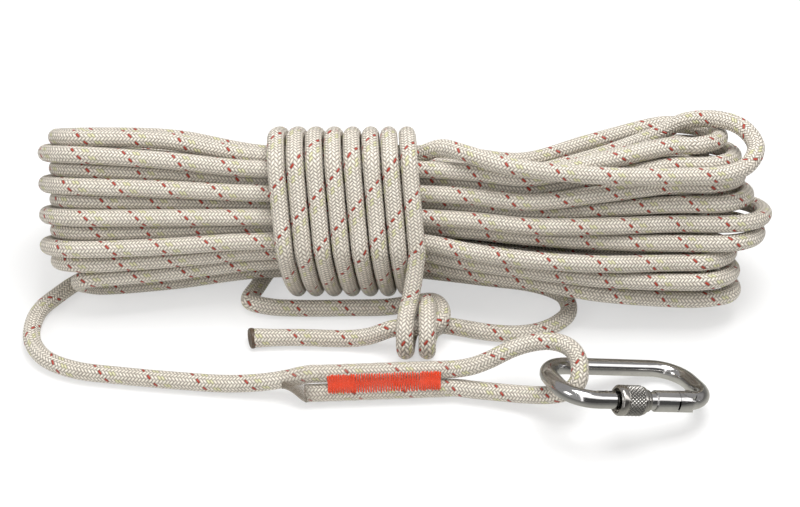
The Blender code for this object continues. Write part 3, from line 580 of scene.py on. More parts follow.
def tight_outline(places):
    """The corners of a line drawn tight round the places, anticlockwise."""
    places = sorted(places)

    def half(run):
        corners = []
        for place in run:
            while len(corners) > 1 and crossed(corners[-2], corners[-1], place) <= STRAIGHT_AREA:
                corners.pop()
            corners.append(place)
        return corners[:-1]

    return half(places) + half(places[::-1])


def crossed(a, b, c):
    """Twice the area of the triangle a, b, c, above 0 where it turns to the left at b."""
    return (b[0] - a[0]) * (c[1] - a[1]) - (b[1] - a[1]) * (c[0] - a[0])


def turn_section():
    """One frapping turn in (y, z), from under the waist up the back and down the front."""
    corners = tight_outline(waist_strands())
    ring = []
    for before, corner, after in zip(corners[-1:] + corners, corners, corners[1:] + corners[:1]):
        start = math.atan2(corner[1] - before[1], corner[0] - before[0]) - math.pi / 2
        end = math.atan2(after[1] - corner[1], after[0] - corner[0]) - math.pi / 2
        turn = (end - start) % math.tau
        count = math.ceil(turn / CORNER_STEP)
        reach = SPACING / math.cos(turn / count / 2)
        for k in range(count):
            angle = start + (k + 0.5) * turn / count
            ring.append((corner[0] + reach * math.cos(angle), corner[1] + reach * math.sin(angle)))
    floor_z = min(place[1] for place in ring)
    lowest = [i for i, place in enumerate(ring) if place[1] < floor_z + LOWEST_WITHIN]
    first = min(lowest, key=lambda i: ring[i][0])
    return ring[first:] + ring[:first]


def wrap_points():
    """Eight turns; the first begins under the hank, the last leaves its front for the knot."""
    ring = turn_section()
    lengths = [math.dist(a, b) for a, b in zip(ring, ring[1:] + ring[:1])]
    shares = np.concatenate([[0.0], np.cumsum(lengths)]) / sum(lengths)
    top = shares[max(range(len(ring)), key=lambda i: ring[i][1])]
    points = []
    for turn in range(TURNS):
        for share, (y, z) in zip(shares, ring):
            angle = math.tau * (turn + share - top)
            x = FIRST_TURN_X + TURN_PITCH * angle / math.tau + TURN_SWAY * (1 - math.cos(angle))
            points.append((x, y, z))
    points[0] = (points[0][0] + START_SHIFT, points[0][1], points[0][2])
    while points[-1][2] < WRAP_EXIT[2] + ROPE_D:
        points.pop()
    return points + [WRAP_EXIT]


def splice_axes():
    """Along the legs, from the lower leg to the upper one, and out towards the front."""
    along = (Vector(LOWER_LEG[1]) - Vector(LOWER_LEG[0])).normalized()
    level = Vector((-along[1], along[0], 0.0))
    across = level * math.sqrt(1 - LEG_RISE**2) + Vector((0.0, 0.0, LEG_RISE))
    return along, across, along.cross(across)


def lower_leg(x):
    """The centre of the splice's lower leg at x, on the straight line along it."""
    along, _, _ = splice_axes()
    start = Vector(LOWER_LEG[0])
    return start + along * ((x - start[0]) / along[0])


def upper_leg(x):
    """The centre of the upper leg beside the lower leg's centre at x."""
    _, across, _ = splice_axes()
    return lower_leg(x) + across * LEG_GAP


def rope_keys():
    """The places that the rope's centre passes through, from the cut end to the sealed one."""
    legs = np.linspace(LOWER_LEG[0][0], STRAIGHT_END_X, LEG_KEYS)
    keys = [lower_leg(x) for x in legs] + list(EYE_ROUTE[::-1]) + [upper_leg(x) for x in legs[::-1]]
    keys = keys[:-1] + [upper_leg(LEAD_END_X), upper_leg(LEAD_END_X - ROPE_D)]
    keys += list(LEAD_ROUTE[::-1]) + hank_points() + list(LINK_ROUTE)
    keys += [KNOT_START, *KNOT_ROUTE] + wrap_points()[::-1] + list(TAIL_ROUTE)
    return np.array([tuple(key) for key in keys]) - LAYOUT_CENTRE


def smooth_line(keys):
    """A centripetal Catmull-Rom curve through the keys: cubic pieces of equal numbers of samples,
    whose slopes at each key weigh its neighbours by the root of their distance."""
    spans = np.sqrt(np.linalg.norm(np.diff(keys, axis=0), axis=1))[:, None]
    chords = np.diff(keys, axis=0) / spans
    wide = (keys[2:] - keys[:-2]) / (spans[1:] + spans[:-1])
    slopes = np.concatenate([chords[:1], chords[:-1] - wide + chords[1:], chords[-1:]])
    t = np.linspace(0, 1, CURVE_STEPS, endpoint=False)[None, :, None]
    a, b = keys[:-1, None], keys[1:, None]
    u, v = (slopes[:-1] * spans)[:, None], (slopes[1:] * spans)[:, None]
    line = a * (2 * t**3 - 3 * t**2 + 1) + b * (3 * t**2 - 2 * t**3)
    line = line + u * (t**3 - 2 * t**2 + t) + v * (t**3 - t**2)
    return np.concatenate([line.reshape(-1, 3), keys[-1:]])


def by_bend(line, straight, per_bend):
    """Points along a line, a set step apart where it is straight and closer where it bends, so
    that each step turns by about per_bend radians at most."""
    ways = np.diff(line, axis=0)
    lengths = np.linalg.norm(ways, axis=1)
    ways = ways / lengths[:, None]
    turns = np.arccos(np.clip((ways[1:] * ways[:-1]).sum(1), -1, 1))
    share = lengths / straight
    share[1:] += turns / per_bend
    along = np.concatenate([[0.0], np.cumsum(share)])
    wanted = np.linspace(0, along[-1], int(along[-1]) + 2)
    return np.stack([np.interp(wanted, along, line[:, k]) for k in range(3)], axis=1)


def carried_frames(line):
    """Two unit vectors across the line at each point, carried along it without twisting."""
    ways = np.gradient(line, axis=0)
    ways /= np.linalg.norm(ways, axis=1)[:, None]
    first = np.cross(ways[0], ANY_WAY)
    sides = [first / np.linalg.norm(first)]
    for way in ways[1:]:
        side = sides[-1] - way * sides[-1].dot(way)
        sides.append(side / np.linalg.norm(side))
    sides = np.array(sides)
    return sides, np.cross(ways, sides)


def side_quads(rows, columns):
    """The vertex numbers of the four-sided faces of a grid: rows along it, columns round it."""
    low = np.arange(rows - 1)[:, None] * columns
    column = np.arange(columns)[None, :]
    beside = (column + 1) % columns
    high = low + columns
    return np.stack([low + column, low + beside, high + beside, high + column], -1).reshape(-1, 4)


def add_grid(name, places, uv=None, caps=True):
    """A smooth surface through a grid of places, with its UV map where one is given. Caps fill
    the first and last rows."""
    rows, columns = places.shape[:2]
    loops = side_quads(rows, columns).ravel()
    starts = np.arange(0, len(loops), 4)
    if caps:
        last = (rows - 1) * columns
        starts = np.concatenate([starts, [len(loops), len(loops) + columns]])
        loops = np.concatenate([loops, np.arange(columns)[::-1], np.arange(last, last + columns)])
    mesh = bpy.data.meshes.new(name)
    mesh.vertices.add(rows * columns)
    mesh.vertices.foreach_set("co", places.reshape(-1))
    mesh.loops.add(len(loops))
    mesh.loops.foreach_set("vertex_index", loops)
    mesh.polygons.add(len(starts))
    mesh.polygons.foreach_set("loop_start", starts)
    mesh.polygons.foreach_set("use_smooth", np.full(len(starts), True))
    if uv is not None:
        corners = np.stack([uv[:-1, :-1], uv[:-1, 1:], uv[1:, 1:], uv[1:, :-1]], 2).reshape(-1, 2)
        if caps:
            ends = [np.tile(uv[row, 0], (columns, 1)) for row in (0, -1)]
            corners = np.concatenate([corners, *ends])
        layer = mesh.uv_layers.new(name="UVMap")
        layer.data.foreach_set("uv", corners.astype(np.float32).reshape(-1))
    mesh.update(calc_edges=True)
    mesh.validate()
    return add_object(name, mesh)


def tube_grid(line, radius, sides):
    """Places on a round tube: the line's point plus radius times a circle in the carried frame.
    The UV map's u runs once round it and v along it in metres."""
    across, up = carried_frames(line)
    angle = np.linspace(0, 2 * np.pi, sides, endpoint=False)[None, :, None]
    radius = np.broadcast_to(radius, len(line))[:, None, None]
    places = line[:, None] + radius * (np.cos(angle) * across[:, None] + np.sin(angle) * up[:, None])
    along = np.concatenate([[0.0], np.cumsum(np.linalg.norm(np.diff(line, axis=0), axis=1))])
    u = np.linspace(0, 1, sides + 1)
    uv = np.stack(np.broadcast_arrays(u[None, :], along[:, None]), axis=-1)
    return places, uv


def braid_group():
    """Node group of a two-over-two braid on the UV map. Two families of strands wind opposite
    ways. The floor of each family's coordinate numbers its strands, and the sum of both numbers
    modulo 4 says which lies on top. The height is a sine across a strand times one along its
    stretch on top. Outputs: height 0 to 1, a mask of the red tracer and one of the
    yellow-green, and a number for each stitch."""
    group = bpy.data.node_groups.new("braid", "ShaderNodeTree")
    for name in ("Height", "Red", "Green", "Stitch"):
        group.interface.new_socket(name=name, in_out="OUTPUT", socket_type="NodeSocketFloat")
    tree = Tree(group)
    maths = tree.maths
    uv = tree.add("ShaderNodeUVMap", uv_map="UVMap").outputs["UV"]
    parts = tree.add("ShaderNodeSeparateXYZ", {0: uv}).outputs
    round_it = maths("MULTIPLY", parts["X"], float(BRAID_STRANDS))
    along_it = maths("MULTIPLY", parts["Y"], BRAID_STRANDS / TRACER_PITCH)
    left = maths("ADD", round_it, along_it)
    right = maths("SUBTRACT", round_it, along_it)
    left_number = maths("FLOOR", left)
    right_number = maths("FLOOR", right)
    left_part = maths("SUBTRACT", left, left_number)
    right_part = maths("SUBTRACT", right, right_number)
    order = maths("FLOORED_MODULO", maths("ADD", left_number, right_number), 4.0)
    left_on_top = maths("LESS_THAN", order, 1.5)
    right_on_top = maths("SUBTRACT", 1.0, left_on_top)
    across = maths("MULTIPLY", right_part, right_on_top)
    across = maths("ADD", maths("MULTIPLY", left_part, left_on_top), across)
    other = maths("MULTIPLY", left_part, right_on_top)
    other = maths("ADD", maths("MULTIPLY", right_part, left_on_top), other)
    place = maths("MULTIPLY", maths("ADD", maths("FLOORED_MODULO", order, 2.0), other), 0.5)
    crown = maths("POWER", maths("SINE", maths("MULTIPLY", across, math.pi)), 0.9)
    rise = maths("POWER", maths("SINE", maths("MULTIPLY", place, math.pi)), 0.7)
    height = maths("MULTIPLY", crown, maths("MULTIPLY_ADD", rise, 0.85, 0.15))
    strand_number = maths("FLOORED_MODULO", right_number, float(BRAID_STRANDS))
    on_top = maths("MULTIPLY", right_on_top, tree.share_between(height, 0.10, 0.30))
    red = maths("MULTIPLY", on_top, maths("LESS_THAN", strand_number, 0.5))
    third_or_fourth = maths("LESS_THAN", strand_number, 4.5)
    third_or_fourth = maths("MULTIPLY", maths("GREATER_THAN", strand_number, 2.5), third_or_fourth)
    green = maths("MULTIPLY", on_top, third_or_fourth)
    stitch = maths("MULTIPLY_ADD", left_number, 7.31, maths("MULTIPLY", right_number, 3.17))
    tree.add("NodeGroupOutput", {"Height": height, "Red": red, "Green": green, "Stitch": stitch})
    return group


def mixed_colour(tree, mask, first, second, blend="MIX"):
    """A colour between two others, each a socket or three numbers."""
    inputs = {0: mask, 6: first, 7: second}
    return tree.add("ShaderNodeMix", inputs, data_type="RGBA", blend_type=blend).outputs[2]


def object_place(tree):
    """Coordinates on the piece itself, in metres."""
    return tree.add("ShaderNodeTexCoord").outputs["Object"]


def soft_noise(tree, place, scale, detail=2.0):
    """Soft noise from 0 to 1, with about scale bumps to the metre."""
    inputs = {"Vector": place, "Scale": scale, "Detail": detail}
    return tree.add("ShaderNodeTexNoise", inputs).outputs["Fac"]


def add_relief(tree, shader, height, strength, distance):
    """Raises a shader's surface by a height from 0 to 1, times the distance in metres."""
    inputs = {"Height": height, "Strength": strength, "Distance": distance}
    tree.fill(shader, {"Normal": tree.add("ShaderNodeBump", inputs).outputs["Normal"]})


def sheath_material():
    """The braided sheath: yarn darkening with painted shade into the gaps between the strands, two
    tracers that darken there too, fine filaments across each stitch, and a slightly uneven tone from
    handling."""
    made, tree, shader = new_material("braided sheath")
    weave = tree.add("ShaderNodeGroup", node_tree=braid).outputs
    place = object_place(tree)
    fibres = soft_noise(tree, place, 2600.0)
    shades = tree.add("ShaderNodeTexWhiteNoise", {"W": weave["Stitch"]}, noise_dimensions="1D")
    # Painted shade: the colour darkens with the braid's depth into the gaps between the strands
    depth = tree.maths("POWER", weave["Height"], 0.8)
    tone = tree.maths("MULTIPLY_ADD", shades.outputs["Value"], 0.16, depth)
    tone = tree.maths("MULTIPLY_ADD", fibres, 0.18, tone)
    tone = tree.maths("SUBTRACT", tone, 0.16)
    shaded_yarn = mixed_colour(tree, tone, SHEATH_GAP_SHADE, SHEATH_LIGHT)
    handling = soft_noise(tree, place, 60.0, 3.0)
    handled = mixed_colour(tree, handling, (0.86, 0.84, 0.80), (1.0, 1.0, 0.99))
    colour = mixed_colour(tree, 1.0, shaded_yarn, handled, "MULTIPLY")
    # Painted shade: the tracers darken into the gaps the same way, to these darker red and yellow tones
    red = mixed_colour(tree, depth, (0.16, 0.020, 0.010), TRACER_RED)
    colour = mixed_colour(tree, weave["Red"], colour, red)
    green = mixed_colour(tree, depth, (0.22, 0.21, 0.08), TRACER_GREEN)
    colour = mixed_colour(tree, weave["Green"], colour, green)
    tree.fill(shader, {"Base Color": colour, "Roughness": 0.38, "Sheen Weight": 0.10})
    height = tree.maths("MULTIPLY_ADD", fibres, 0.10, weave["Height"])
    add_relief(tree, shader, height, 1.0, 0.0005)
    return made


braid = braid_group()
rope_line = by_bend(smooth_line(rope_keys()), STEP_STRAIGHT, STEP_PER_BEND)
last_way = (rope_line[-1] - rope_line[-2]) / np.linalg.norm(rope_line[-1] - rope_line[-2])
rope_line = np.concatenate([rope_line[:-1], rope_line[-1] - np.outer(TAPER_STEPS, last_way)])
steps = np.linalg.norm(np.diff(rope_line[::-1], axis=0), axis=1)
from_end = np.concatenate([[0.0], np.cumsum(steps)])[::-1]
flare = 1 + FLARE * np.exp(-((from_end / FLARE_REACH) ** 2))
taper = 1 - TAPER * np.exp(-((from_end / TAPER_REACH) ** 2))
rope_places, rope_uv = tube_grid(rope_line, ROPE_R * flare * taper, ROPE_SIDES)
rope_places[..., 2] = np.maximum(rope_places[..., 2], FLOOR_REST)
rope = add_grid("rope", rope_places, rope_uv)
rope.data.materials.append(sheath_material())
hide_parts("rope_hank", "rope_wrap", "rope_knot", "rope_link", "rope_tail", "rope_lead", "rope_eye")
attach(rope, "rope")

# The rope's ends
# The cut end in the splice is frayed and grimy, and the tail's end is melted into a hard dark
# button a little wider than the rope, so that the sheath can't slide back off the core.

# Rings of each end, as (distance back from the end, radius in shares of the rope's)
BUTTON_PROFILE = ((0.0022, 1.05), (0.0010, 1.15), (0.0000, 1.19), (-0.0010, 1.16))
BUTTON_PROFILE += ((-0.0015, 1.06), (-0.0013, 0.80), (-0.0009, 0.55))
STUB_PROFILE = ((0.0012, 0.90), (0.0004, 1.02), (-0.0003, 1.01), (-0.0008, 0.90), (-0.0007, 0.60))
HOLLOW_DEPTH = 0.0005
HOLLOW_SHARE = 0.22
# The way that the sealed end faces
BUTTON_FACES = np.array((-1.0, -0.30, 0.12))
BUTTON_SIDES = 36
# Waves round an end, as (number round it, height in shares of the radius, phase)
BUTTON_WAVES = ((2, 0.030, 0.7), (3, 0.022, 2.1), (7, 0.018, 0.0))
STUB_SQUASH = 0.97


def add_rope_end(name, place, outwards, profile, squash):
    """A button round the rope's end: rings at the profile's distances back from the end, their
    radii uneven by the sum of the waves round them, closed by a hollow middle."""
    outwards = outwards / np.linalg.norm(outwards)
    across = np.cross(outwards, (0.0, 0.0, 1.0))
    across /= np.linalg.norm(across)
    up = np.cross(across, outwards)
    angle = np.linspace(0, 2 * np.pi, BUTTON_SIDES, endpoint=False)
    uneven = np.ones(BUTTON_SIDES)
    for number, height, phase in BUTTON_WAVES:
        uneven += height * np.sin(number * angle + phase)
    rings = np.array([*profile, (profile[-1][0] + HOLLOW_DEPTH, HOLLOW_SHARE)])
    back, size = rings[:, 0, None, None], rings[:, 1, None, None] * ROPE_R * uneven[None, :, None]
    circle = np.cos(angle)[None, :, None] * across + squash * np.sin(angle)[None, :, None] * up
    places = place - outwards * back + size * circle
    places[..., 2] = np.maximum(places[..., 2], FLOOR_REST)
    return add_grid(name, places)


def melted_material():
    """Melted and charred nylon: nearly black, browner and rougher in patches, with small bubbles."""
    made, tree, shader = new_material("melted end")
    place = object_place(tree)
    patches = soft_noise(tree, place, 420.0, 4.0)
    colour = mixed_colour(tree, patches, (0.012, 0.008, 0.006), (0.16, 0.105, 0.065))
    rough = tree.maths("MULTIPLY_ADD", patches, 0.5, 0.2)
    tree.fill(shader, {"Base Color": colour, "Roughness": rough})
    bubbles = tree.add("ShaderNodeTexVoronoi", {"Vector": place, "Scale": 900.0})
    add_relief(tree, shader, bubbles.outputs["Distance"], 0.6, 0.0004)
    return made


melted = melted_material()
sealed_end = add_rope_end("sealed_end", rope_line[-1], BUTTON_FACES, BUTTON_PROFILE, 1.0)
cut_end = add_rope_end("cut_end", rope_line[0], rope_line[0] - rope_line[2], STUB_PROFILE, STUB_SQUASH)
for end in (sealed_end, cut_end):
    end.data.materials.append(melted)
    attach(end, "rope")

# The splice's stitching
# The end is turned back beside the lead and sewn to it by machine with orange-red polyester
# thread: two dense blocks of zigzag, joined by thinner rows, front and back.

STITCH_THICK = 0.0010
STITCH_WIDTH = 0.0110
DENSE_STITCHES = ((-0.0440, -0.0280), (0.0123, 0.0249))
BLOCK_GAP = 0.0004
THREAD_R = 0.00038
THREAD_SIDES = 6
# The pitch and lift of the threads in the dense blocks and between them
DENSE_PITCH = 0.00056
DENSE_LIFT = 0.00040
LOOSE_PITCH = 0.00078
LOOSE_LIFT = 0.00030
# Places along a thread in shares of its half length
THREAD_SHARES = (-1.0, -0.97, -0.6, -0.2, 0.2, 0.6, 0.97, 1.0)
THREAD_DIP = 0.0007
THREAD_END_DROP = 0.0011
THREAD_SLANT = 0.9
# A thread's least reach in shares of the half width, its random part, and what every third lacks
LEAST_REACH = 0.93
RANDOM_REACH = 0.19
THIRD_SHORTER = 0.07
RANDOM_LIFT = 0.00022
# Each side's name, whether it is in front (1) or behind (-1), and the seed of its random draws
STITCHED_SIDES = (("front", 1, 11), ("back", -1, 12))


def thread_row(x, slant, reach_up, reach_down, lift):
    """One thread over both legs: a line across them with a shallow dip, parabolic, in the middle
    and both ends turned down into the rope."""
    along, across, out = (np.array(axis) for axis in splice_axes())
    middle = np.array((upper_leg(float(x)) + lower_leg(float(x))) / 2) - LAYOUT_CENTRE
    share = np.array(THREAD_SHARES)
    reach = np.where(share > 0, reach_up, reach_down) * STITCH_WIDTH / 2
    height = ROPE_R + lift - THREAD_DIP * (1 - share**2)
    height[[0, -1]] -= THREAD_END_DROP
    flat = middle + (share * reach)[:, None] * across + (share * slant / 2)[:, None] * along
    return flat + height[:, None] * out


def add_grids(name, grids):
    """Many closed tubes of equal size as one mesh: the first tube's faces, shifted by each tube's
    share of the vertices, with both ends capped."""
    count, rings, sides = grids.shape[:3]
    shift = (np.arange(count) * rings * sides)[:, None]
    quads = (side_quads(rings, sides) + shift[:, :, None]).reshape(-1, 4)
    start_caps = np.arange(sides)[::-1] + shift
    end_caps = np.arange(sides) + (rings - 1) * sides + shift
    faces = quads.tolist() + start_caps.tolist() + end_caps.tolist()
    mesh = bpy.data.meshes.new(name)
    mesh.from_pydata(grids.reshape(-1, 3).tolist(), [], faces)
    mesh.polygons.foreach_set("use_smooth", np.ones(len(mesh.polygons), dtype=bool))
    mesh.update()
    return add_object(name, mesh)


def add_stitching(name, side, seed):
    """All the threads of one side as one mesh of thin tubes. They slant to and fro by a share of
    their pitch. Behind, each is mirrored in the plane through both legs."""
    draw = np.random.default_rng(seed)
    rows = []
    for start, end in DENSE_STITCHES:
        rows += [(x, DENSE_PITCH, DENSE_LIFT) for x in np.arange(start, end, DENSE_PITCH)]
    gap = (DENSE_STITCHES[0][1] + BLOCK_GAP, DENSE_STITCHES[1][0] - BLOCK_GAP)
    rows += [(x, LOOSE_PITCH, LOOSE_LIFT) for x in np.arange(*gap, LOOSE_PITCH)]
    out = np.array(splice_axes()[2])
    grids = []
    for number, (x, pitch, lift) in enumerate(rows):
        slant = pitch * (THREAD_SLANT if number % 2 else -THREAD_SLANT)
        up, down = LEAST_REACH + RANDOM_REACH * draw.random(2) - THIRD_SHORTER * (number % 3 == 0)
        line = thread_row(x, slant, up, down, lift + RANDOM_LIFT * (number % 2) * draw.random())
        if side < 0:
            line = line - 2 * out * ((line - np.array(upper_leg(float(x))) + LAYOUT_CENTRE) @ out)[:, None]
        grids.append(tube_grid(line, THREAD_R, THREAD_SIDES)[0])
    return add_grids(name, np.array(grids))


def thread_material():
    """Softly shining twisted polyester: orange-red, with fine diagonal ply and rows that differ a
    little in shade."""
    made, tree, shader = new_material("orange-red thread")
    place = object_place(tree)
    wave = {"Vector": place, "Scale": 900.0, "Distortion": 1.0}
    ply = tree.add("ShaderNodeTexWave", wave, bands_direction="DIAGONAL").outputs["Fac"]
    tone = tree.maths("MULTIPLY_ADD", ply, 0.35, soft_noise(tree, place, 700.0))
    colour = mixed_colour(tree, tone, (0.58, 0.027, 0.004), (0.92, 0.070, 0.008))
    tree.fill(shader, {"Base Color": colour, "Roughness": 0.5, "Specular IOR Level": 0.25})
    add_relief(tree, shader, ply, 0.35, 0.0001)
    return made


thread = thread_material()
for name, side, seed in STITCHED_SIDES:
    stitches = add_stitching("stitches_" + name, side, seed)
    stitches.data.materials.append(thread)
    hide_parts("splice_stitching_" + name)
    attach(stitches, "rope")

# The splice's clear sleeve
# A length of clear shrink tube, slid over the splice and shrunk with hot air. It lies close to
# both legs, follows the single lead at its narrow end, and is slightly cloudy from wear.

FIT = 0.0003
SLEEVE_X = (-0.0730, 0.0305)
# From here on the sleeve lies round both legs
BOTH_LEGS_X = -0.0570
SLEEVE_WALL = 0.0006
STITCH_ROOM = 0.45 * STITCH_THICK
FILM_ROWS = 60
FILM_SIDES = 56
FILM_RIPPLE = 0.00012
RIPPLE_PER_METRE = 610
# The lead's part of the rope's line: left of an x, within a distance of the upper leg's y at
# another x, and above a height
LEAD_LEFT_OF = 0.04
LEAD_BESIDE_X = -0.02
LEAD_WITHIN = 0.02
LEAD_ABOVE = 0.0090
# Where the film bunches up, cloudy and darkened by painted shade: all of it left of the first
# place, none right of the second, and little of it over the lead
GATHER_AND_SHADE_X = (-0.0610, -0.0530)
GATHER_AND_SHADE_OVER_LEAD = 0.12


def lead_at(x):
    """The rope's centre at each x along the lead and the upper leg, read off its own line."""
    beside = np.abs(rope_line[:, 1] - upper_leg(LEAD_BESIDE_X)[1] + LAYOUT_CENTRE[1])
    part = rope_line[(rope_line[:, 0] < LEAD_LEFT_OF) & (beside < LEAD_WITHIN)]
    part = part[part[:, 2] > LEAD_ABOVE]
    part = part[np.argsort(part[:, 0])]
    return np.stack([x, np.interp(x, part[:, 0], part[:, 1]), np.interp(x, part[:, 0], part[:, 2])], -1)


def film_places(wall):
    """Rings of the film at each x: a half circle round the upper leg and one round the lower,
    with straight sides between them and a slight ripple. The lower half starts on the lead and
    moves to the lower leg with soft ends along the narrow end."""
    along, across, out = (np.array(axis) for axis in splice_axes())
    x = np.linspace(*SLEEVE_X, FILM_ROWS)
    top = lead_at(x - LAYOUT_CENTRE[0])
    low = np.array([tuple(lower_leg(float(v))) for v in x]) - LAYOUT_CENTRE
    t = np.clip((x - SLEEVE_X[0]) / (BOTH_LEGS_X - SLEEVE_X[0]), 0, 1)
    both = (t * t * (3 - 2 * t))[:, None]
    low = top + (low - top) * both
    angle = np.linspace(0, 2 * np.pi, FILM_SIDES, endpoint=False)
    cosine, sine = np.cos(angle)[None, :, None], np.sin(angle)[None, :, None]
    centre = np.where(sine >= 0, top[:, None], low[:, None])
    radius = ROPE_R + FIT + wall
    thick = radius + STITCH_ROOM * both[:, :, None]
    wave = FILM_RIPPLE * np.sin(x * RIPPLE_PER_METRE)[:, None, None] * np.sin(3 * angle)[None, :, None]
    return centre + (across * sine * (radius + wave) + out * cosine * (thick + wave))


def store_shares(thing, name, shares):
    """Keeps one number for each place of a grid with its surface, for the material to read."""
    kept = thing.data.attributes.new(name, "FLOAT", "POINT")
    kept.data.foreach_set("value", shares.ravel().astype(np.float32))


def film_material():
    """Clear film: mostly see-through, a little cloudy in patches, closer where it bunches up and
    darkened there by painted shade, smooth and softly glossy."""
    made, tree, shader = new_material("clear film")
    cloud = soft_noise(tree, object_place(tree), 120.0)
    facing = tree.add("ShaderNodeLayerWeight", {"Blend": 0.35}).outputs["Facing"]
    gather = tree.add("ShaderNodeAttribute", attribute_name="gather").outputs["Fac"]
    colour = mixed_colour(tree, cloud, (0.52, 0.47, 0.40), (0.70, 0.64, 0.56))
    # Painted shade: where the film bunches up its colour darkens to a brown-grey, as film seen from inside in
    # shadow
    colour = mixed_colour(tree, gather, colour, (0.27, 0.225, 0.175))
    veil = tree.maths("MULTIPLY", cloud, 0.06)
    veil = tree.maths("MULTIPLY_ADD", facing, 0.26, veil)
    veil = tree.maths("MULTIPLY_ADD", gather, 0.48, veil)
    rough = tree.maths("MULTIPLY_ADD", cloud, 0.2, 0.12)
    tree.fill(shader, {"Base Color": colour, "Alpha": veil, "Roughness": rough})
    add_relief(tree, shader, cloud, 0.10, 0.0003)
    return made


film_loop = np.concatenate([film_places(0.0), film_places(-SLEEVE_WALL / 2)[::-1]])
film = add_grid("clear_film", film_loop, caps=False)
# How far each place of the film bunches up, which also sets its painted shade
gathered_and_shaded = (GATHER_AND_SHADE_X[1] - film_loop[..., 0] - LAYOUT_CENTRE[0]) / (GATHER_AND_SHADE_X[1] - GATHER_AND_SHADE_X[0])
gathered_and_shaded = np.clip(gathered_and_shaded, 0, 1)
gathered_and_shaded[:, : FILM_SIDES // 2 + 1] *= GATHER_AND_SHADE_OVER_LEAD
store_shares(film, "gather", gathered_and_shaded)
film_mesh = bmesh.new()
film_mesh.from_mesh(film.data)
film_mesh.verts.ensure_lookup_table()
last_row = len(film_loop) - 1
for k in range(FILM_SIDES):
    beside = (k + 1) % FILM_SIDES
    corners = (last_row * FILM_SIDES + k, last_row * FILM_SIDES + beside, beside, k)
    film_mesh.faces.new([film_mesh.verts[corner] for corner in corners])
bmesh.ops.recalc_face_normals(film_mesh, faces=film_mesh.faces)
film_mesh.to_mesh(film.data)
film_mesh.free()
film.data.materials.append(film_material())
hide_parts("splice_sleeve")
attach(film, "rope")

# The karabiner's bar, gate and pins
# A round steel bar bent into an oval and plated, with a turned gate that a rivet holds, a latch
# pin across its nose and a coil spring and plunger inside it.

KARABINER_CENTRE = (0.13623, -0.14342, 0.02310)
KARABINER_LONG_AXIS = (0.9369, 0.2239, -0.2686)
KARABINER_GATE_SIDE = (0.3081, -0.8918, 0.3314)
# How many times longer the grain is along the bar than across it
GRAIN_STRETCH = (6.0, 1.0, 1.0)
SCRATCH_HALF_BAND = 0.0035
JOIN_WITHIN = 0.00001
SHARP_PAST = math.radians(35)


def karabiner_turn():
    """Its own axes, as a turn in the layout frame."""
    x_axis = Vector(KARABINER_LONG_AXIS).normalized()
    z_axis = x_axis.cross(-Vector(KARABINER_GATE_SIDE)).normalized()
    y_axis = z_axis.cross(x_axis)
    return Matrix((x_axis, y_axis, z_axis)).transposed().to_4x4()


def worn_steel_group():
    """Node group of handled steel on Object coordinates: a fine grain stretched along the bar,
    thin scratches where a soft noise is close to its middle, and broad smudges. Line Scale sets
    the grain and Polish the least roughness. Outputs: a mask of marks, the roughness and a
    height."""
    group = bpy.data.node_groups.new("worn steel", "ShaderNodeTree")
    for name in ("Line Scale", "Polish"):
        group.interface.new_socket(name=name, in_out="INPUT", socket_type="NodeSocketFloat")
    for name in ("Marks", "Roughness", "Height"):
        group.interface.new_socket(name=name, in_out="OUTPUT", socket_type="NodeSocketFloat")
    tree = Tree(group)
    entry = tree.add("NodeGroupInput").outputs
    place = object_place(tree)
    along_bar = {"Vector": place, "Rotation": karabiner_turn().to_euler(), "Scale": GRAIN_STRETCH}
    along_bar = tree.add("ShaderNodeMapping", along_bar, vector_type="TEXTURE").outputs["Vector"]
    grain = soft_noise(tree, along_bar, entry["Line Scale"], 3.0)
    smudge = soft_noise(tree, place, 95.0, 4.0)
    scratch = tree.maths("SUBTRACT", soft_noise(tree, place, 160.0, 1.0), 0.5)
    scratch = tree.maths("LESS_THAN", tree.maths("ABSOLUTE", scratch), SCRATCH_HALF_BAND)
    marks = tree.maths("MULTIPLY_ADD", smudge, 0.6, tree.maths("MULTIPLY", scratch, 0.25))
    rough = tree.maths("MULTIPLY_ADD", smudge, 0.14, entry["Polish"])
    rough = tree.maths("MULTIPLY_ADD", grain, 0.06, rough)
    height = tree.maths("SUBTRACT", grain, tree.maths("MULTIPLY", scratch, 0.8))
    tree.add("NodeGroupOutput", {"Marks": marks, "Roughness": rough, "Height": height})
    return group


def steel_material(name, dark, light, polish, line_scale):
    """Plated steel: dark in the smudges and light between them, with the wear of the group."""
    made, tree, shader = new_material(name)
    wear = {"Line Scale": line_scale, "Polish": polish}
    wear = tree.add("ShaderNodeGroup", wear, node_tree=worn_steel).outputs
    colour = mixed_colour(tree, wear["Marks"], light, dark)
    tree.fill(shader, {"Base Color": colour, "Roughness": wear["Roughness"], "Metallic": 1.0})
    add_relief(tree, shader, wear["Height"], 0.25, 0.00004)
    return made


def smooth_faces_group():
    """Geometry nodes that join a node's loose triangles within a hundredth of a millimetre, smooth
    its faces and keep edges sharp past 35 degrees."""
    group = bpy.data.node_groups.new("smooth faces", "GeometryNodeTree")
    for side in ("INPUT", "OUTPUT"):
        group.interface.new_socket(name="Geometry", in_out=side, socket_type="NodeSocketGeometry")
    tree = Tree(group)
    loose = {"Geometry": tree.add("NodeGroupInput").outputs[0], "Distance": JOIN_WITHIN}
    joined = tree.add("GeometryNodeMergeByDistance", loose).outputs["Geometry"]
    smooth = tree.add("GeometryNodeSetShadeSmooth", {"Geometry": joined}, domain="FACE")
    angle = tree.add("GeometryNodeInputMeshEdgeAngle").outputs["Unsigned Angle"]
    edges = {"Geometry": smooth.outputs["Geometry"], "Shade Smooth": False}
    edges["Selection"] = tree.maths("GREATER_THAN", angle, SHARP_PAST)
    crisp = tree.add("GeometryNodeSetShadeSmooth", edges, domain="EDGE")
    tree.add("NodeGroupOutput", {0: crisp.outputs["Geometry"]})
    return group


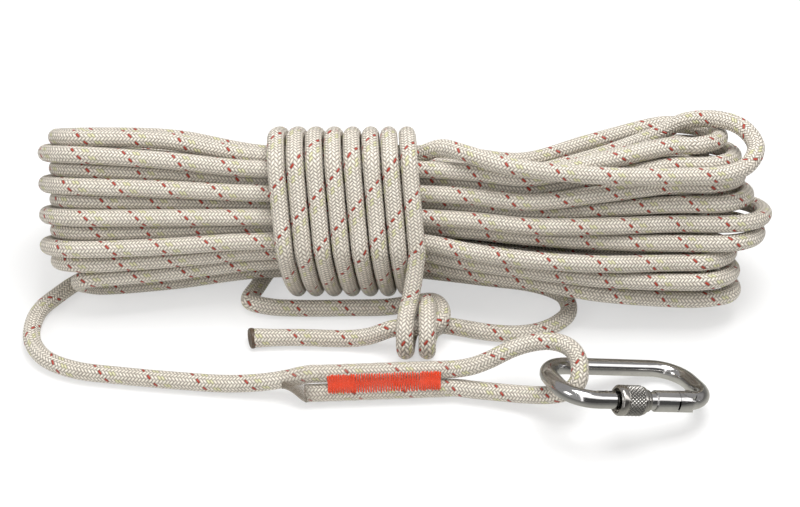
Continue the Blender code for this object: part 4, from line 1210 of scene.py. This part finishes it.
worn_steel = worn_steel_group()
smooth_faces = smooth_faces_group()
bar_steel = steel_material("bar steel", (0.24, 0.234, 0.230), (0.58, 0.57, 0.56), 0.02, 500.0)
gate_steel = steel_material("turned gate steel", (0.26, 0.253, 0.245), (0.62, 0.61, 0.60), 0.02, 700.0)
pin_steel = steel_material("pin steel", (0.25, 0.24, 0.23), (0.55, 0.54, 0.52), 0.18, 900.0)
wire_steel = steel_material("spring wire", (0.12, 0.12, 0.12), (0.40, 0.40, 0.41), 0.22, 1200.0)
STEEL_NODES = (
    ("karabiner_body", bar_steel),
    ("karabiner_gate", gate_steel),
    ("gate_rivet", pin_steel),
    ("latch_pin", pin_steel),
    ("gate_plunger", pin_steel),
    ("gate_spring", wire_steel),
)
for name, look in STEEL_NODES:
    for held in bpy.data.objects:
        if held.type == "MESH" and held.name.startswith(name):
            held.data.materials.clear()
            held.data.materials.append(look)
            held.modifiers.new("smooth faces", "NODES").node_group = smooth_faces

# The screw sleeve
# A turned steel barrel that screws over the gate's nose to lock it. Its grip is rolled with
# crossed grooves, its rims are plain and chamfered, and it is open round the nose.

GATE_Y = -0.02425
NECK_R = 0.0055
LOCK_R = 0.00925
LOCK_BORE_R = NECK_R + FIT
LOCK_RECESS_R = 0.00725
LOCK_X = (-0.0175, -0.0135, 0.0035)
LOCK_CHAMFER = 0.0010
LOCK_SIDES = 312
# Small edges and steps of the profile, and where it passes beside the knurled band and out of
# the bore, as (distance back from the end, distance out from the bore)
EDGE = 0.0003
BEND = 0.0002
RIM_LAND = 0.0006
BAND_STEP = 0.0004
BAND_MARGINS = (0.0010, 0.0005, 0.0001)
MOUTH = ((0.0003, 0.0009), (0.0, 0.0006), (0.0, 0.0001), (0.0001, 0.0))
SHOULDER_DROP = 0.0005
SHOULDER_START = 0.0006
SHOULDER_LENGTH = 0.0030
SHOULDER_DEPTH = 0.0024
SHOULDER_ANGLES = (15, 35, 55, 75)
KNURL_X = (-0.0122, -0.0022)
KNURL_RINGS = 64
KNURL_DEPTH = 0.00055
KNURL_TURNS = 26
KNURL_PITCH = 0.00240
LOCK_JOIN_WITHIN = 0.000005
LOCK_SHARP_PAST = math.radians(40)


def lock_profile():
    """The barrel's outline as (x, radius, knurled) from the recess's inner end, out over the rims
    and back through the bore. The shoulder beyond the grip falls as a quarter of an ellipse."""
    start, recess_end, end = LOCK_X
    first, last = KNURL_X
    rim, step = LOCK_CHAMFER, LOCK_R - BAND_STEP
    away, near, beside = BAND_MARGINS
    shoulder, fall = last + SHOULDER_START, LOCK_R - SHOULDER_DROP
    plain = [(recess_end, LOCK_BORE_R), (recess_end, LOCK_RECESS_R), (start + EDGE, LOCK_RECESS_R)]
    plain += [(start, LOCK_RECESS_R + EDGE), (start, LOCK_R - rim - BEND), (start + BEND, LOCK_R - rim)]
    plain += [(start + rim, LOCK_R - BEND), (start + rim + RIM_LAND, LOCK_R), (first - away, LOCK_R)]
    plain += [(first - near, step), (first - beside, step)]
    rest = [(last + beside, step), (shoulder, fall)]
    for angle in np.radians(SHOULDER_ANGLES):
        drop = SHOULDER_DEPTH * (1 - np.cos(angle))
        rest.append((shoulder + SHOULDER_LENGTH * np.sin(angle), fall - drop))
    rest += [(end - back, LOCK_BORE_R + out) for back, out in MOUTH] + [(recess_end, LOCK_BORE_R)]
    band = [(x, LOCK_R, 1) for x in np.linspace(first, last, KNURL_RINGS)]
    return np.array([(*place, 0) for place in plain] + band + [(*place, 0) for place in rest])


def lock_places():
    """The profile turned about the gate's axis. In the knurled band the radius drops by the groove
    depth times one less the smaller of two sines' sizes, whose phases run opposite ways round the
    barrel. Returns the places and each one's share of the groove's depth."""
    x, radius, knurled = lock_profile().T[:, :, None]
    angle = np.linspace(0, 2 * np.pi, LOCK_SIDES, endpoint=False)[None, :]
    turn = KNURL_TURNS * angle / (2 * np.pi)
    one = np.abs(np.sin(np.pi * (turn + x / KNURL_PITCH)))
    two = np.abs(np.sin(np.pi * (turn - x / KNURL_PITCH)))
    groove = knurled * (1 - np.minimum(one, two))
    radius = radius - KNURL_DEPTH * groove
    local = np.stack(np.broadcast_arrays(x, GATE_Y + radius * np.cos(angle), radius * np.sin(angle)), -1)
    turn_matrix = np.array(karabiner_turn().to_3x3())
    return local @ turn_matrix.T + np.array(KARABINER_CENTRE) - LAYOUT_CENTRE, groove


def knurled_material():
    """The barrel's steel: the handled steel's wear, with painted shade darkening the grooves of the grip."""
    made = steel_material("knurled steel", (0.20, 0.19, 0.175), (0.50, 0.48, 0.45), 0.10, 800.0)
    tree = Tree(made.node_tree)
    shader = tree.nodes["Principled BSDF"]
    groove = tree.add("ShaderNodeAttribute", attribute_name="groove").outputs["Fac"]
    groove_shade = tree.maths("POWER", groove, 0.9)
    worn = shader.inputs["Base Color"].links[0].from_socket
    # Painted shade: the grooves darken to near black and turn less metallic towards their bottoms
    colour = mixed_colour(tree, groove_shade, worn, (0.022, 0.021, 0.018))
    metal = tree.maths("MULTIPLY_ADD", groove_shade, -0.8, 1.0)
    tree.fill(shader, {"Base Color": colour, "Metallic": metal})
    return made


lock_grid, lock_groove = lock_places()
lock = add_grid("knurled_sleeve", lock_grid, caps=False)
store_shares(lock, "groove", lock_groove)
lock_work = bmesh.new()
lock_work.from_mesh(lock.data)
bmesh.ops.remove_doubles(lock_work, verts=lock_work.verts, dist=LOCK_JOIN_WITHIN)
bmesh.ops.recalc_face_normals(lock_work, faces=lock_work.faces)
lock_work.to_mesh(lock.data)
lock_work.free()
lock.data.set_sharp_from_angle(angle=LOCK_SHARP_PAST)
lock.data.materials.append(knurled_material())
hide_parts("screw_sleeve")
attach(lock, "screw_sleeve")
